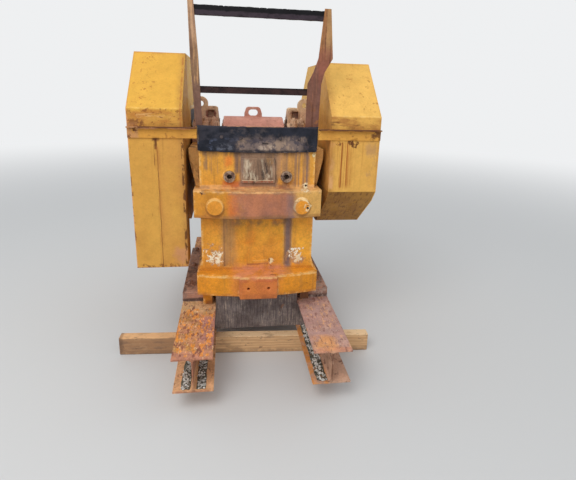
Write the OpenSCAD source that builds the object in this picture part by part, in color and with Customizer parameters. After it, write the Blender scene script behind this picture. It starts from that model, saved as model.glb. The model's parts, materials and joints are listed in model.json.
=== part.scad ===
// Jaw crusher of the single toggle type, standing on two steel beams and two timbers.
// +Z is up, the feed side faces -Y, and the origin is the middle of the footprint on the floor.
// Heights named _z are counted from the deck, the top of the beams.

/* [Base] */
// Length of the two beams
beam_len = 2000; // [1950:10:2300]
// Width of a beam's flanges
beam_w = 220; // [200:5:240]
// Height of a beam
beam_h = 210; // [180:5:240]
// Thickness of a beam's flanges
beam_flange = 11; // [9:1:16]
// Thickness of a beam's web
beam_web = 7; // [6:1:12]
// Distance between the middles of the two beams
beam_pitch = 770; // [750:5:790]
// Length of the timbers across, under the beams
timber_len = 1670; // [1500:10:1800]
// Height of the timbers
timber_h = 125; // [80:5:160]
// Thickness of the timbers
timber_t = 70; // [50:5:100]
// Middle of the front timber, back from the beams' front ends
timber_front_in = 568; // [450:2:700]
// Middle of the rear timber, forward from the beams' rear ends
timber_rear_in = 330; // [200:10:500]
// How far askew the timbers lie, in degrees
timber_turn = 3.4; // [0:0.2:6]
// How far the machine stands to one side of the front timber's middle
timber_shift = 75; // [0:5:80]
// Length of the rear timber
timber_rear_len = 1000; // [980:10:1400]
// Thickness of the plate that ties the two beams
cross_plate_t = 12; // [8:1:20]
// The tie plate, behind the front wall's face
cross_plate_back = 26; // [10:1:50]
// Width of a foot rail
rail_w = 145; // [130:1:155]
// Height of a foot rail
rail_h = 66; // [50:2:80]
// The foot rails start this far behind the front wall's face
rail_back = 61; // [50:1:75]
// Length of a foot rail
rail_len = 860; // [800:10:910]

/* [Front wall] */
// The front wall's face, back from the beams' front ends
front_in = 600; // [550:5:700]
// Width of the front wall
front_w = 714; // [700:2:740]
// Thickness of the front wall
front_t = 80; // [60:5:90]
// Way between the foot rails and the front wall over them
rail_way = 5; // [2:1:15]
// Top of the front wall
front_top_z = 1160; // [1150:5:1180]
// Width of the upper bowed rib
top_rib_w = 785; // [770:1:800]
// Width of the lower bowed rib
low_rib_w = 774; // [760:1:790]
// How far the ribs stand out at their ends
rib_out = 65; // [50:5:80]
// How much further the ribs bow out at their middle
rib_bow = 52; // [30:2:70]
// Corner radius of the ribs' ends
rib_corner = 20; // [10:1:28]
// Underside of the lower rib
low_rib_low_z = 105; // [95:1:115]
// Top of the lower rib
low_rib_top_z = 250; // [240:5:265]
// Underside of the upper rib
top_rib_low_z = 620; // [600:5:640]
// Top of the upper rib
top_rib_top_z = 790; // [780:5:800]
// Radius of the round bosses on the upper rib
boss_r = 50; // [40:1:56]
// Distance between the two bosses
boss_pitch = 527; // [500:1:560]
// How far the bosses stand out
boss_out = 20; // [10:1:30]
// Width of the pad in the middle of the lower rib
pad_w = 238; // [200:2:280]
// Height of that pad
pad_h = 158; // [140:2:165]
// How far that pad stands out of the rib
pad_out = 14; // [8:1:30]
// Distance between the two jaw bolts
jaw_bolt_pitch = 352; // [330:2:380]
// Height of the jaw bolts
jaw_bolt_z = 863; // [850:1:880]
// Radius of the jaw bolts' washers
washer_r = 36; // [30:1:42]
// Radius of the jaw bolts' holes
jaw_bolt_r = 15; // [12:1:18]

/* [Side walls] */
// Half the width between the side walls
side_in = 240; // [236:1:246]
// Thickness of a side wall
side_t = 60; // [45:1:75]
// Length of the side walls
side_len = 900; // [880:5:940]
// Half width over the bearing seats
seat_half_w = 424; // [410:2:430]
// Top of the side walls at their rear end
rear_top_z = 740; // [700:5:780]
// Thickness of the cheek plates
cheek_t = 20; // [16:1:21]
// Thickness of the rear wall
rear_t = 60; // [45:1:80]
// Thickness of the side walls' stiffening ribs
stiffener_t = 35; // [25:1:50]

/* [Crushing gear] */
// The shaft, behind the front wall's face
shaft_back = 585; // [575:5:600]
// Height of the shaft
shaft_z = 1025; // [1015:5:1040]
// Throw of the eccentric
throw = 10; // [7:1:12]
// Radius of the shaft in its bearings
shaft_r = 50; // [42:1:58]
// Radius of the eccentric journal
journal_r = 68; // [62:1:74]
// Radius of the main bearings
bearing_r = 95; // [85:1:105]
// Radius of the swing jaw's head
head_r = 180; // [170:1:185]
// Width of the swing jaw
jaw_w = 424; // [410:2:426]
// Thickness of the jaw plates, tips and all
jaw_t = 50; // [44:1:58]
// Height of a jaw plate's teeth
tooth_h = 18; // [12:1:22]
// Distance from one jaw tooth to the next
tooth_pitch = 53; // [45:1:60]
// Gap between the jaw plates at the top
gape = 275; // [260:5:285]
// Gap between the jaw plates at the bottom
discharge = 55; // [45:5:70]
// Lower edge of the jaw plates
jaw_low_z = 170; // [150:5:190]
// Upper edge of the swing jaw plate
jaw_top_z = 880; // [860:5:900]
// Thickness of the toggle plate
toggle_t = 36; // [30:1:44]
// Radius of the tension rod
rod_r = 14; // [11:1:18]

/* [Wheels] */
// Radius of the two wheels
wheel_r = 480; // [450:5:490]
// Width of a wheel's rim
wheel_w = 160; // [140:5:190]
// Depth of a wheel's rim
rim_d = 75; // [60:5:90]
// Thickness of a wheel's web
web_t = 40; // [30:5:60]
// Number of belt grooves in the drive wheel
groove_n = 5; // [3:1:6]

/* [Guards] */
// Way between the bearing seats and the guards
guard_way = 16; // [12:1:22]
// Width of a guard
guard_w = 312; // [300:2:330]
// Thickness of the guards' sheet
sheet_t = 4; // [3:0.5:6]
// The guards' front face, ahead of the front wall's face
guard_ahead = 31; // [20:1:40]
// The left guard sits this much higher than the mean, and the right one this much lower
guard_step = 12; // [0:1:20]
// Bottom of a guard
guard_low_z = 495; // [485:5:505]
// Lower fold of a guard's front
guard_fold1_z = 709; // [695:1:725]
// Second fold of a guard's front
guard_fold2_z = 783; // [770:1:800]
// Upper fold of a guard's front
guard_fold3_z = 1247; // [1230:1:1260]
// Top of a guard
guard_top_z = 1575; // [1560:5:1590]
// Bottom of the belt drop box
drop_low_z = 277; // [220:1:320]
// Depth of the belt drop box
drop_d = 190; // [150:5:220]
// Height of the guard brackets' upper edge
bracket_z = 1160; // [1140:5:1180]
// Height of a guard bracket
bracket_h = 65; // [55:1:75]

/* [Hopper frame] */
// The rubber flap reaches this far past the front wall at each side
flap_over = 5; // [0:1:12]
// Height of the rubber flap
flap_h = 150; // [130:5:160]
// Thickness of the rubber flap
flap_t = 12; // [8:1:16]
// Height of the posts' tops
post_top_z = 1900; // [1860:5:1950]
// Thickness of the posts' plate
post_t = 8; // [6:1:12]
// Depth of the posts
post_d = 55; // [45:5:70]
// Height of the middle crossbar
mid_bar_z = 1352; // [1330:2:1380]
// Height of the top bar
top_bar_z = 1772; // [1740:2:1790]

/* [Hidden] */

fit = 0.3;          // round or hand-fitted faces that lie against each other
run = 0.08;         // a shaft in its bearing
play = 6;           // least way between moving pieces
deck = timber_h + beam_h;
ochre = [0.84, 0.63, 0.28];
cast_yellow = [0.83, 0.56, 0.18];
rust = [0.52, 0.32, 0.22];
brown = [0.47, 0.33, 0.29];
steel = [0.45, 0.45, 0.46];
pink = [0.80, 0.55, 0.48];
cream = [0.76, 0.68, 0.57];
pine = [0.80, 0.66, 0.44];
black = [0.16, 0.17, 0.20];

front_low_z = rail_h + rail_way;            // underside of the front wall
y_front = -beam_len / 2 + front_in;         // face of the front wall
y_wall = y_front + front_t;                 // back of the front wall
y_fixed = y_wall + jaw_t;                   // tips of the fixed jaw's teeth
y_shaft = y_front + shaft_back;
y_rear = y_wall + side_len;                 // rear end of the side walls
y_guard = y_front - guard_ahead;
guard_half_d = y_shaft - y_guard;
guard_in = seat_half_w + guard_way;         // inner face of the guards, from the middle
flap_w = front_w + 2 * flap_over;
rail_x = beam_pitch / 2 + beam_w / 2 - rail_w;  // inner edge of a foot rail, from the middle
side_out = side_in + side_t;
cheek_in = side_in - fit - cheek_t;
cheek_top_z = shaft_z - 60;
journal_z = shaft_z - throw;                // the eccentric rests at its lowest
jaw_lean = atan((gape - discharge) / (jaw_top_z - jaw_low_z));
jaw_run = (jaw_top_z - jaw_low_z) / cos(jaw_lean);

// Plain shapes

// Extrudes an outline drawn in Y and Z along X, from x0 to x1
module along_x(x0, x1) translate([x0, 0, 0]) rotate([90, 0, 90]) linear_extrude(x1 - x0) children();

// Extrudes an outline drawn in X and Z along Y, from y0 to y1
module along_y(y0, y1) translate([0, y1, 0]) rotate([90, 0, 0]) linear_extrude(y1 - y0) children();

// A round bar along X
module bar_x(r, x0, x1, y, z) translate([x0, y, z]) rotate([0, 90, 0]) cylinder(r = r, h = x1 - x0, $fn = 96);

// A round bar along Y
module bar_y(r, y0, y1, x, z) translate([x, y0, z]) rotate([-90, 0, 0]) cylinder(r = r, h = y1 - y0, $fn = 64);

// A rectangle in the plane with round corners
module round_rect(w, h, r) {
    translate([r, 0]) square([w - 2 * r, h]);
    translate([0, r]) square([w, h - 2 * r]);
    for (x = [r, w - r], y = [r, h - r]) translate([x, y]) circle(r = r, $fn = 48);
}

// A plate w wide from z0 up to a round top about the point (x, z)
module round_top(w, x, z0, z) {
    translate([x - w / 2, z0]) square([w, z - z0]);
    translate([x, z]) circle(r = w / 2, $fn = 96);
}

module left_or_right(side) { if (side < 0) mirror([1, 0, 0]) children(); else children(); }

// Base

beam_root = 18;     // fillet between web and flange
beam_in = beam_pitch / 2 - beam_w / 2;      // inner edge of a beam's flanges, from the middle

module beam(side) {
    x = side * beam_pitch / 2;
    color(side < 0 ? [0.72, 0.45, 0.26] : [0.62, 0.44, 0.38])
    translate([0, 0, timber_h]) along_y(-beam_len / 2, beam_len / 2) {
        for (z = [0, beam_h - beam_flange]) translate([x - beam_w / 2, z]) square([beam_w, beam_flange]);
        difference() {
            translate([x - beam_web / 2 - beam_root, beam_flange - 1])
                square([beam_web + 2 * beam_root, beam_h - 2 * beam_flange + 2]);
            for (s = [-1, 1]) translate([x + s * (beam_web / 2 + beam_root), beam_h / 2]) {
                straight = beam_h - 2 * beam_flange - 2 * beam_root;
                square([2 * beam_root, straight], center = true);
                for (end = [-1, 1]) translate([0, end * straight / 2]) circle(r = beam_root, $fn = 48);
            }
        }
    }
}

// A timber lies askew under both beams, about the point (x, y)
module timber(len, x, y) color(pine) translate([x, y, timber_h / 2]) rotate([0, 0, -timber_turn])
    cube([len, timber_t, timber_h], center = true);

// Plate between the beams' webs, narrower where it rises past their flanges to the front wall
module cross_plate() color([0.35, 0.33, 0.32])
    along_y(y_front + cross_plate_back, y_front + cross_plate_back + cross_plate_t) {
        reach = beam_pitch / 2 - beam_web / 2 - beam_root;
        neck = beam_in - fit;
        translate([-reach, timber_h + beam_flange]) square([2 * reach, beam_h - 2 * beam_flange]);
        translate([-neck, timber_h + beam_h / 2]) square([2 * neck, beam_h / 2 + front_low_z]);
    }

module foot_rail(side) color(rust) left_or_right(side)
    translate([rail_x, y_front + rail_back, deck]) cube([rail_w, rail_len, rail_h]);

// Front wall

// How far a rib that is w wide and bows by bow lies back from its middle at x
function bow_radius(w, bow) = (w * w / 4 + bow * bow) / (2 * bow);
function bow_drop(w, bow, x) = bow_radius(w, bow) - sqrt(pow(bow_radius(w, bow), 2) - x * x);

// Outline in X and Y of a rib that bows out of the wall at y = 0
module bowed(w, out, bow) {
    r = bow_radius(w, bow);
    intersection() {
        translate([0, r - out - bow]) circle(r = r, $fn = 200);
        translate([-w / 2, -out - bow]) round_rect(w, out + bow + rib_corner + 1, rib_corner);
        translate([-w / 2, -out - bow]) square([w, out + bow + 1]);
    }
}

module front_wall() color(cast_yellow) translate([0, y_front, deck]) difference() {
    crown = rib_out + rib_bow;
    union() {
        translate([-front_w / 2, 0, front_low_z]) cube([front_w, front_t, front_top_z - front_low_z]);
        // The wall widens to the lower rib
        along_y(0, front_t) polygon([[-flare_w / 2, low_rib_top_z - 1], [flare_w / 2, low_rib_top_z - 1],
            [front_w / 2, low_rib_top_z + flare_h], [-front_w / 2, low_rib_top_z + flare_h]]);
        // Bowed ribs, and the bands that carry their ends back to the side walls
        for (rib = [[low_rib_low_z, low_rib_top_z, low_rib_w], [top_rib_low_z, top_rib_top_z, top_rib_w]]) {
            translate([0, 0, rib[0]]) linear_extrude(rib[1] - rib[0]) bowed(rib[2], rib_out, rib_bow);
            translate([-rib[2] / 2, 0, rib[0]]) cube([rib[2], front_t, rib[1] - rib[0]]);
        }
        for (s = [-1, 1]) {
            bar_y(boss_r, bow_drop(top_rib_w, rib_bow, boss_pitch / 2) - crown - boss_out, 0,
                s * boss_pitch / 2, top_rib_low_z + boss_up);
            bar_y(washer_r + 8, -jaw_boss_out, 0, s * jaw_bolt_pitch / 2, jaw_bolt_z);
        }
        // Feet that stand on the beams, the right one set back
        for (foot = [[-1, foot_left_back], [1, foot_right_back]])
            translate([foot[0] * (front_w - foot_w) / 2 - foot_w / 2, foot[1], 0])
                cube([foot_w, rail_back - rail_way - foot[1], front_low_z + 1]);
        // Pad in the middle of the lower rib, and the raised plate in the middle of the upper panel
        translate([-pad_w / 2, -crown - pad_out, low_rib_top_z - pad_h]) cube([pad_w, crown + pad_out, pad_h]);
        along_y(-plate_out, 0) translate([-plate_w / 2, plate_z]) round_rect(plate_w, plate_h, 10);
    }
    for (s = [-1, 1]) {
        // Upright grooves of the lower panel
        translate([s * groove_x - groove_w / 2, -1, low_rib_top_z + 20])
            cube([groove_w, groove_d + 1, top_rib_low_z - low_rib_top_z - 40]);
        bar_y(jaw_bolt_r + bolt_way, -jaw_boss_out - 1, front_t + 1, s * jaw_bolt_pitch / 2, jaw_bolt_z);
        bar_y(pad_hole_r, -crown - pad_out - 1, -crown + 20, s * pad_hole_x, low_rib_top_z - pad_h / 2 - 6);
    }
}
flare_w = 754;          // width of the wall where it meets the lower rib
flare_h = 70;
boss_up = 76;           // middle of the bosses, above the upper rib's underside
jaw_boss_out = 5;
bolt_way = 3;           // way round a jaw bolt in its hole
foot_w = 60;
foot_left_back = 8;
foot_right_back = 34;
plate_w = 210;
plate_h = 155;
plate_z = 824;
plate_out = 12;
groove_x = 195;
groove_w = 42;
groove_d = 6;
pad_hole_x = 64;
pad_hole_r = 8;

// Washers under the heads of the jaw bolts, with the bolts' sleeves through the wall
module jaw_washers() color([0.38, 0.34, 0.35]) translate([0, y_front, deck])
    for (s = [-1, 1]) difference() {
        union() {
            bar_y(washer_r, -jaw_boss_out - washer_t, -jaw_boss_out, s * jaw_bolt_pitch / 2, jaw_bolt_z);
            bar_y(jaw_bolt_r + bolt_way - fit, -jaw_boss_out - 1, front_t - 20, s * jaw_bolt_pitch / 2, jaw_bolt_z);
        }
        bar_y(jaw_bolt_r, -jaw_boss_out - washer_t - 1, 40, s * jaw_bolt_pitch / 2, jaw_bolt_z);
    }
washer_t = 10;

// Side and rear walls

// Outline of a side wall in Y and Z
module side_outline() polygon([[y_wall, rail_h], [y_rear, rail_h], [y_rear, rear_top_z],
    [y_shaft + seat_half_l, shaft_z], [y_wall, shaft_z]]);
seat_half_l = 190;      // half length of a bearing seat

// Band along a side wall between two heights, recessed between its edges
module side_band(z0, z1) difference() {
    translate([side_out - 1, y_wall, z0]) cube([low_rib_w / 2 - side_out + 1, side_len, z1 - z0]);
    translate([low_rib_w / 2 - band_d, y_wall + stiffener_t, z0 + stiffener_t])
        cube([band_d + 1, side_len - 2 * stiffener_t, z1 - z0 - 2 * stiffener_t]);
}
band_d = 45;

module side_wall(side) color(cast_yellow) left_or_right(side) translate([0, 0, deck]) difference() {
    union() {
        along_x(side_in, side_out) side_outline();
        // The wall widens above the upper rib to carry the bearing
        difference() {
            along_y(y_wall, y_shaft + seat_half_l) polygon([[side_out - 1, top_rib_top_z - 1],
                [low_rib_w / 2, top_rib_top_z - 1], [seat_half_w, shaft_z - 60],
                [seat_half_w, shaft_z], [side_out - 1, shaft_z]]);
            translate([side_out + 20, y_wall + stiffener_t, top_rib_low_z])
                cube([seat_half_w, shaft_back - front_t - seat_half_l - stiffener_t, shaft_z - 45 - top_rib_low_z]);
        }
        side_band(rail_h, low_rib_top_z);
        side_band(top_rib_low_z, top_rib_top_z);
        for (y = [y_wall + side_len * 0.27, y_wall + side_len * 0.62])
            translate([side_out - 1, y, low_rib_top_z - 1])
                cube([low_rib_w / 2 - side_out - 14, stiffener_t, top_rib_low_z - low_rib_top_z + 2]);
    }
    bar_x(bearing_r + fit, side_in - 1, seat_half_w + 1, y_shaft, shaft_z);
}

module rear_wall() color(cast_yellow) translate([0, 0, deck]) difference() {
    w = 2 * (side_in - fit);
    union() {
        translate([-w / 2, y_rear - rear_t, rear_low_z]) cube([w, rear_t, rear_top_z - rear_low_z]);
        for (z = [block_z - block_h / 2 - shelf_t, block_z + block_h / 2])
            translate([-w / 2, y_rear - rear_t - shelf_d, z]) cube([w, shelf_d + 1, shelf_t]);
    }
    bar_y(rod_r + rod_play, y_rear - rear_t - 1, y_rear + 1, 0, rod_z + throw);
}
rear_low_z = 130;
shelf_d = 130;          // the toggle block slides between two shelves
shelf_t = 36;
block_z = 420;          // middle of the toggle block
block_h = 120;
rod_z = 212;
rod_play = throw + play + 8;    // the rod moves round with the swing jaw

// Jaw plates and cheeks

// Cross section of a jaw plate in X and Y: teeth point to +Y, the back lies at y = 0
module jaw_section(w, shift) difference() {
    translate([-w / 2, 0]) square([w, jaw_t]);
    n = floor(w / tooth_pitch / 2) + 1;
    for (i = [-n : n]) translate([(i + shift) * tooth_pitch, jaw_t + 0.5])
        polygon([[-tooth_pitch * 0.34, 0.5], [tooth_pitch * 0.34, 0.5], [tooth_pitch * 0.34, -0.5],
            [tooth_pitch * 0.12, -tooth_h], [-tooth_pitch * 0.12, -tooth_h], [-tooth_pitch * 0.34, -0.5]]);
}

module fixed_jaw() color(steel) translate([0, y_wall, deck + jaw_low_z])
    linear_extrude(cheek_top_z - jaw_low_z) jaw_section(2 * (cheek_in - fit), 0);

// Places children on the back of the swing jaw plate: X across, Y into the chamber, Z up the plate
module on_swing_jaw() translate([0, y_fixed + discharge, deck + jaw_low_z]) rotate([-jaw_lean, 0, 0])
    translate([0, jaw_t, 0]) rotate([0, 0, 180]) children();

module swing_jaw() color(steel) on_swing_jaw() linear_extrude(jaw_run) jaw_section(jaw_w, 0.5);

module cheek(side) color(steel) left_or_right(side) translate([0, 0, deck])
    along_x(cheek_in, cheek_in + cheek_t) polygon([[y_wall, jaw_low_z], [y_fixed + discharge + 130, jaw_low_z],
        [y_fixed + gape - 10, cheek_top_z], [y_wall, cheek_top_z]]);

// Shaft, bearings and wheels

module bearing(side) color(steel) left_or_right(side) translate([0, 0, deck]) difference() {
    bar_x(bearing_r, side_in + 20, seat_half_w - 20, y_shaft, shaft_z);
    bar_x(shaft_r + run, side_in, seat_half_w, y_shaft, shaft_z);
}

module bearing_cap(side) color(cream) left_or_right(side) translate([0, 0, deck]) difference() {
    union() {
        intersection() {
            bar_x(cap_r, side_in, seat_half_w, y_shaft, shaft_z);
            translate([side_in - 1, y_shaft - cap_r, shaft_z]) cube([seat_half_w, 2 * cap_r, cap_r]);
        }
        // Flanges, and round bosses that carry the nuts
        translate([side_in, y_shaft - seat_half_l + 5, shaft_z])
            cube([seat_half_w - side_in, 2 * seat_half_l - 10, cap_flange_t]);
        for (x = [stud_in, stud_in + stud_pitch], y = [-1, 1])
            translate([side_in + x, y_shaft + y * (seat_half_l - 36), shaft_z]) {
                cylinder(r = cap_boss_r, h = cap_boss_h, $fn = 64);
                cylinder(r = nut_r, h = cap_boss_h + 22, $fn = 6);
                cylinder(r = stud_r, h = cap_boss_h + 32, $fn = 32);
            }
        // Crown over the inner half of the bearing, and the lifting lug over the outer half
        along_y(y_shaft - crown_w / 2, y_shaft + crown_w / 2)
            polygon([[side_in, shaft_z + bearing_r + 20], [lug_x, shaft_z + bearing_r + 20],
                [lug_x, crown_z - 70], [lug_x - lug_w / 2, crown_z], [side_in + 24, crown_z], [side_in + 12, crown_z - 10]]);
        along_y(y_shaft - crown_w / 2 - 6, y_shaft - crown_w / 2 + lug_t)
            round_top(lug_w, lug_x, shaft_z + bearing_r + 20, lug_z);
    }
    bar_x(bearing_r + fit, side_in - 1, seat_half_w + 1, y_shaft, shaft_z);
    bar_y(lug_hole_r, y_shaft - crown_w / 2 - 7, y_shaft + crown_w / 2, lug_x, lug_z);
    // Pocket in the crown's front
    translate([side_in + pocket_in, y_shaft - crown_w / 2 - 7, pocket_z]) cube([pocket_w, 32, pocket_w]);
}
cap_r = 145;
cap_flange_t = 70;
cap_boss_r = 27;
cap_boss_h = 140;
nut_r = 21;
stud_r = 10;
stud_in = 36;
stud_pitch = 57;
crown_w = 120;
crown_z = 1262;
lug_x = side_in + 126;
lug_t = 36;
lug_w = 96;
lug_z = 1280;           // middle of the lug's eye
lug_hole_r = 18;
pocket_in = 38;
pocket_w = 44;
pocket_z = 1194;

module eccentric_shaft() color(steel) translate([0, 0, deck]) {
    bar_x(shaft_r, -shaft_half_l, shaft_half_l, y_shaft, shaft_z);
    bar_x(journal_r, -jaw_w / 2 - 8, jaw_w / 2 + 8, y_shaft, journal_z);
}
shaft_half_l = guard_in + guard_w - 50;

// Wheel about the shaft in the plane x = 0: rim, web with round holes, and hub
module wheel_form() {
    difference() {
        bar_x(wheel_r, -wheel_w / 2, wheel_w / 2, y_shaft, shaft_z);
        for (s = [-1, 1]) translate([s * (web_t + wheel_w) / 2, 0, 0])
            bar_x(wheel_r - rim_d, -wheel_w / 2, wheel_w / 2, y_shaft, shaft_z);
        bar_x(hub_r - 10, -wheel_w, wheel_w, y_shaft, shaft_z);
        for (i = [0 : 5]) translate([0, y_shaft, shaft_z]) rotate([i * 60, 0, 0])
            bar_x(web_hole_r, -web_t, web_t, 0, (wheel_r - rim_d + hub_r) / 2);
    }
    difference() {
        bar_x(hub_r, -wheel_w / 2 - 15, wheel_w / 2 + 15, y_shaft, shaft_z);
        bar_x(shaft_r + fit, -wheel_w, wheel_w, y_shaft, shaft_z);
    }
}
hub_r = 100;
web_hole_r = 62;
wheel_x = guard_in + guard_w / 2;

module flywheel() color(steel) translate([wheel_x, 0, deck]) wheel_form();

module drive_wheel() color(steel) translate([-wheel_x, 0, deck]) difference() {
    wheel_form();
    for (i = [0 : groove_n - 1]) translate([(i - (groove_n - 1) / 2) * wheel_w / (groove_n + 0.6), y_shaft, shaft_z])
        rotate([0, 90, 0]) rotate_extrude($fn = 128) translate([wheel_r, 0])
            polygon([[1, -9], [1, 9], [-15, 6], [-15, -6]]);
}

// Swing jaw stock

module pitman() color(pink) translate([0, 0, deck]) difference() {
    half = jaw_w / 2;
    union() {
        bar_x(head_r, -half, half, y_shaft, journal_z);
        // Face behind the swing jaw plate
        translate([0, 0, -deck]) on_swing_jaw() translate([-half, -face_t, 0])
            cube([jaw_w, face_t - fit, jaw_run + 20]);
        // Upright ribs from the head down to the toggle seat
        for (x = [-half + 4, -rib_t / 2 - 72, -rib_t / 2 + 72, half - rib_t - 4])
            along_x(x, x + rib_t) pitman_rib();
        // Block across the bottom that carries the toggle seat
        along_x(-half + 2, half - 2) polygon([[y_foot + 10, jaw_low_z + 8], [seat_y, seat_z - 58],
            [seat_y, seat_z + 58], [seat_y - 70, seat_z + 88], [y_foot + 40, seat_z + 70]]);
        // Lifting eye, longer across than it is high
        along_y(y_shaft - eye_t / 2, y_shaft + eye_t / 2) translate([0, journal_z + head_r]) polygon([
            [-eye_w / 2, -30], [eye_w / 2, -30], [eye_w / 2, eye_up / 3], [eye_w / 2 - 12, eye_up - 10],
            [eye_w / 2 - 24, eye_up], [24 - eye_w / 2, eye_up], [12 - eye_w / 2, eye_up - 10], [-eye_w / 2, eye_up / 3]]);
    }
    bar_x(journal_r + run, -half - 1, half + 1, y_shaft, journal_z);
    along_y(y_shaft - eye_t / 2 - 1, y_shaft + eye_t / 2 + 1) translate([0, journal_z + head_r + 6 + eye_hole_r]) {
        square([2 * eye_hole_x, 2 * eye_hole_r], center = true);
        for (x = [-eye_hole_x, eye_hole_x]) translate([x, 0]) circle(r = eye_hole_r, $fn = 64);
    }
}
// Outline in Y and Z of the ribs behind the swing jaw's face
module pitman_rib() polygon([[y_foot, jaw_low_z + 20], [seat_y - 40, seat_z],
    [y_shaft - 70, journal_z - head_r + 50], [y_shaft - 70, journal_z],
    [y_foot + (jaw_run - 40) * sin(jaw_lean), jaw_top_z - 50]]);
face_t = 45;
y_foot = y_fixed + discharge + (jaw_t + face_t / 2) / cos(jaw_lean);   // lower end of the swing jaw's face
rib_t = 28;
seat_y = y_shaft - 125;     // back of the toggle seat on the swing jaw
seat_z = 270;
seat_reach = toggle_t / 2 + throw + play;   // the toggle's end moves this far about the middle of its seat
eye_w = 126;
eye_t = 40;
eye_up = 68;
eye_hole_r = 22;
eye_hole_x = 12;

// Lips above and below the toggle's end; the lower one also holds the tension rod
module toggle_seat() color([0.38, 0.34, 0.35]) translate([0, seat_y + fit, deck]) {
    half = jaw_w / 2 - 12;
    along_x(-half, half) polygon([[0, seat_z + seat_reach], [seat_lip, seat_z + seat_reach + 8],
        [seat_lip, seat_z + seat_reach + 24], [0, seat_z + seat_reach + 24]]);
    along_x(-half, half) polygon([[0, rod_z - rod_r - 12], [rod_y0 - seat_y, rod_z - rod_r - 6],
        [rod_y0 - seat_y, seat_z - seat_reach - 8], [0, seat_z - seat_reach]]);
}
seat_lip = 30;

// Toggle, tension rod and spring

seat_dip = 8;           // the toggle's rear end turns about a line this far inside its seat's mouth
toggle_front = [seat_y + seat_reach, seat_z + throw];
toggle_back = [y_rear - rear_t - shelf_d - 10, block_z];

module toggle_block() color(steel) translate([0, 0, deck]) difference() {
    w = 2 * (side_in - fit) - 30;
    y0 = toggle_back[0] - seat_dip;
    translate([-w / 2, y0, block_z - block_h / 2 + fit]) cube([w, y_rear - rear_t - fit - y0, block_h - 2 * fit]);
    bar_x(toggle_t / 2 + fit, -w, w, toggle_back[0], block_z);
}

module toggle_plate() color(rust) translate([0, 0, deck]) {
    way = toggle_back - toggle_front;
    w = jaw_w - toggle_way;
    for (end = [toggle_front, toggle_back]) bar_x(toggle_t / 2, -w / 2, w / 2, end[0], end[1]);
    translate([-w / 2, toggle_front[0], toggle_front[1]]) rotate([atan2(way[1], way[0]), 0, 0])
        translate([0, 0, -toggle_t * 0.28]) cube([w, norm(way), toggle_t * 0.56]);
}
toggle_way = 50;        // the toggle plate is this much narrower than the swing jaw

// The rod starts in the seat's lower lip and ends in a washer and a nut behind the spring
module tension_rod() color(steel) translate([0, 0, deck]) {
    bar_y(rod_r, rod_y0 + 2 * fit, rod_y1, 0, rod_z);
    bar_y(rod_washer_r, rod_y1 - nut_in - 12, rod_y1 - nut_in, 0, rod_z);
    bar_y(rod_r + 10, rod_y1 - nut_in - 0.5, rod_y1 - 14, 0, rod_z);
}
rod_y0 = seat_y + 52;
rod_past = 210;         // the rod reaches this far past the rear wall
rod_y1 = y_rear + rod_past;
rod_washer_r = 66;
nut_in = 38;

// The spring's free end stays clear of the rod's washer by the swing jaw's way
module tension_spring() color(rust) translate([0, y_rear + fit, deck + rod_z + throw]) {
    turns = 5;
    seat_t = 12;
    h = rod_y1 - nut_in - 12 - y_rear - throw - play - 2;
    rotate([-90, 0, 0]) difference() {
        cylinder(r = spring_r + 12, h = seat_t, $fn = 64);
        translate([0, 0, -1]) cylinder(r = rod_r + rod_play, h = seat_t + 2, $fn = 64);
    }
    for (i = [0 : turns - 1]) translate([0, seat_t + (h - seat_t) * (i + 0.5) / turns, 0]) rotate([-90, 0, 0])
        rotate_extrude($fn = 64) translate([spring_r, 0]) circle(r = (h - seat_t) / turns / 2 + 0.2, $fn = 24);
}
spring_r = 60;

// Hopper frame

module rubber_flap() color(black) translate([0, y_front - fit, deck])
    along_y(-flap_t, 0) translate([-flap_w / 2, front_top_z + 11 - flap_h]) round_rect(flap_w, flap_h, 8);

// Outer edges of the posts in X and Z, from the bottom up; the right post is bent outwards
left_edge = [[-370, front_top_z], [-390, 1540], [-396, post_top_z]];
right_edge = [[367, front_top_z], [375, 1420], [391, 1485], [438, 1566], [415, post_top_z - 66]];

// X of an edge at height z
function edge_x(edge, z, i = 0) = z > edge[i + 1][1] && i < len(edge) - 2 ? edge_x(edge, z, i + 1) :
    edge[i][0] + (edge[i + 1][0] - edge[i][0]) * (z - edge[i][1]) / (edge[i + 1][1] - edge[i][1]);

// Angle post: a front leg whose width at each point of its edge is given, and a leg along Y on that edge
module post(edge, widths, s) color(brown) translate([0, y_front + post_back, deck]) {
    n = len(edge) - 1;
    along_y(0, post_t)
        polygon([for (p = edge) p, for (i = [n : -1 : 0]) [edge[i][0] - s * widths[i], edge[i][1]]]);
    along_y(0, post_d)
        polygon([for (p = edge) p, for (i = [n : -1 : 0]) [edge[i][0] - s * post_t, edge[i][1]]]);
}
post_back = 18;         // the posts stand this far behind the front wall's face

// Widths of the posts' front legs, from the bottom up
left_widths = [39, 47, 30];
right_widths = [79, 83, 67, 86, 38];

module post_left() post(left_edge, left_widths, -1);
module post_right() post(right_edge, right_widths, 1);

// A bar between the posts, behind their front legs, from height z up to z + h
module between_posts(z, h) translate([0, y_front + post_back + post_t + fit, deck + z])
    along_x(edge_x(left_edge, z) + post_t + fit,
        min(edge_x(right_edge, z), edge_x(right_edge, z + h)) - post_t - fit) children();

module mid_bar() color(brown) between_posts(mid_bar_z, mid_bar_h) {
    square([mid_bar_d, 6]);
    square([6, mid_bar_h]);
}
mid_bar_h = 39;
mid_bar_d = 42;

module top_bar() color(black) between_posts(top_bar_z, top_bar_h) round_rect(top_bar_d, top_bar_h, 8);
top_bar_h = 54;
top_bar_d = 42;

// Guards

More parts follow.
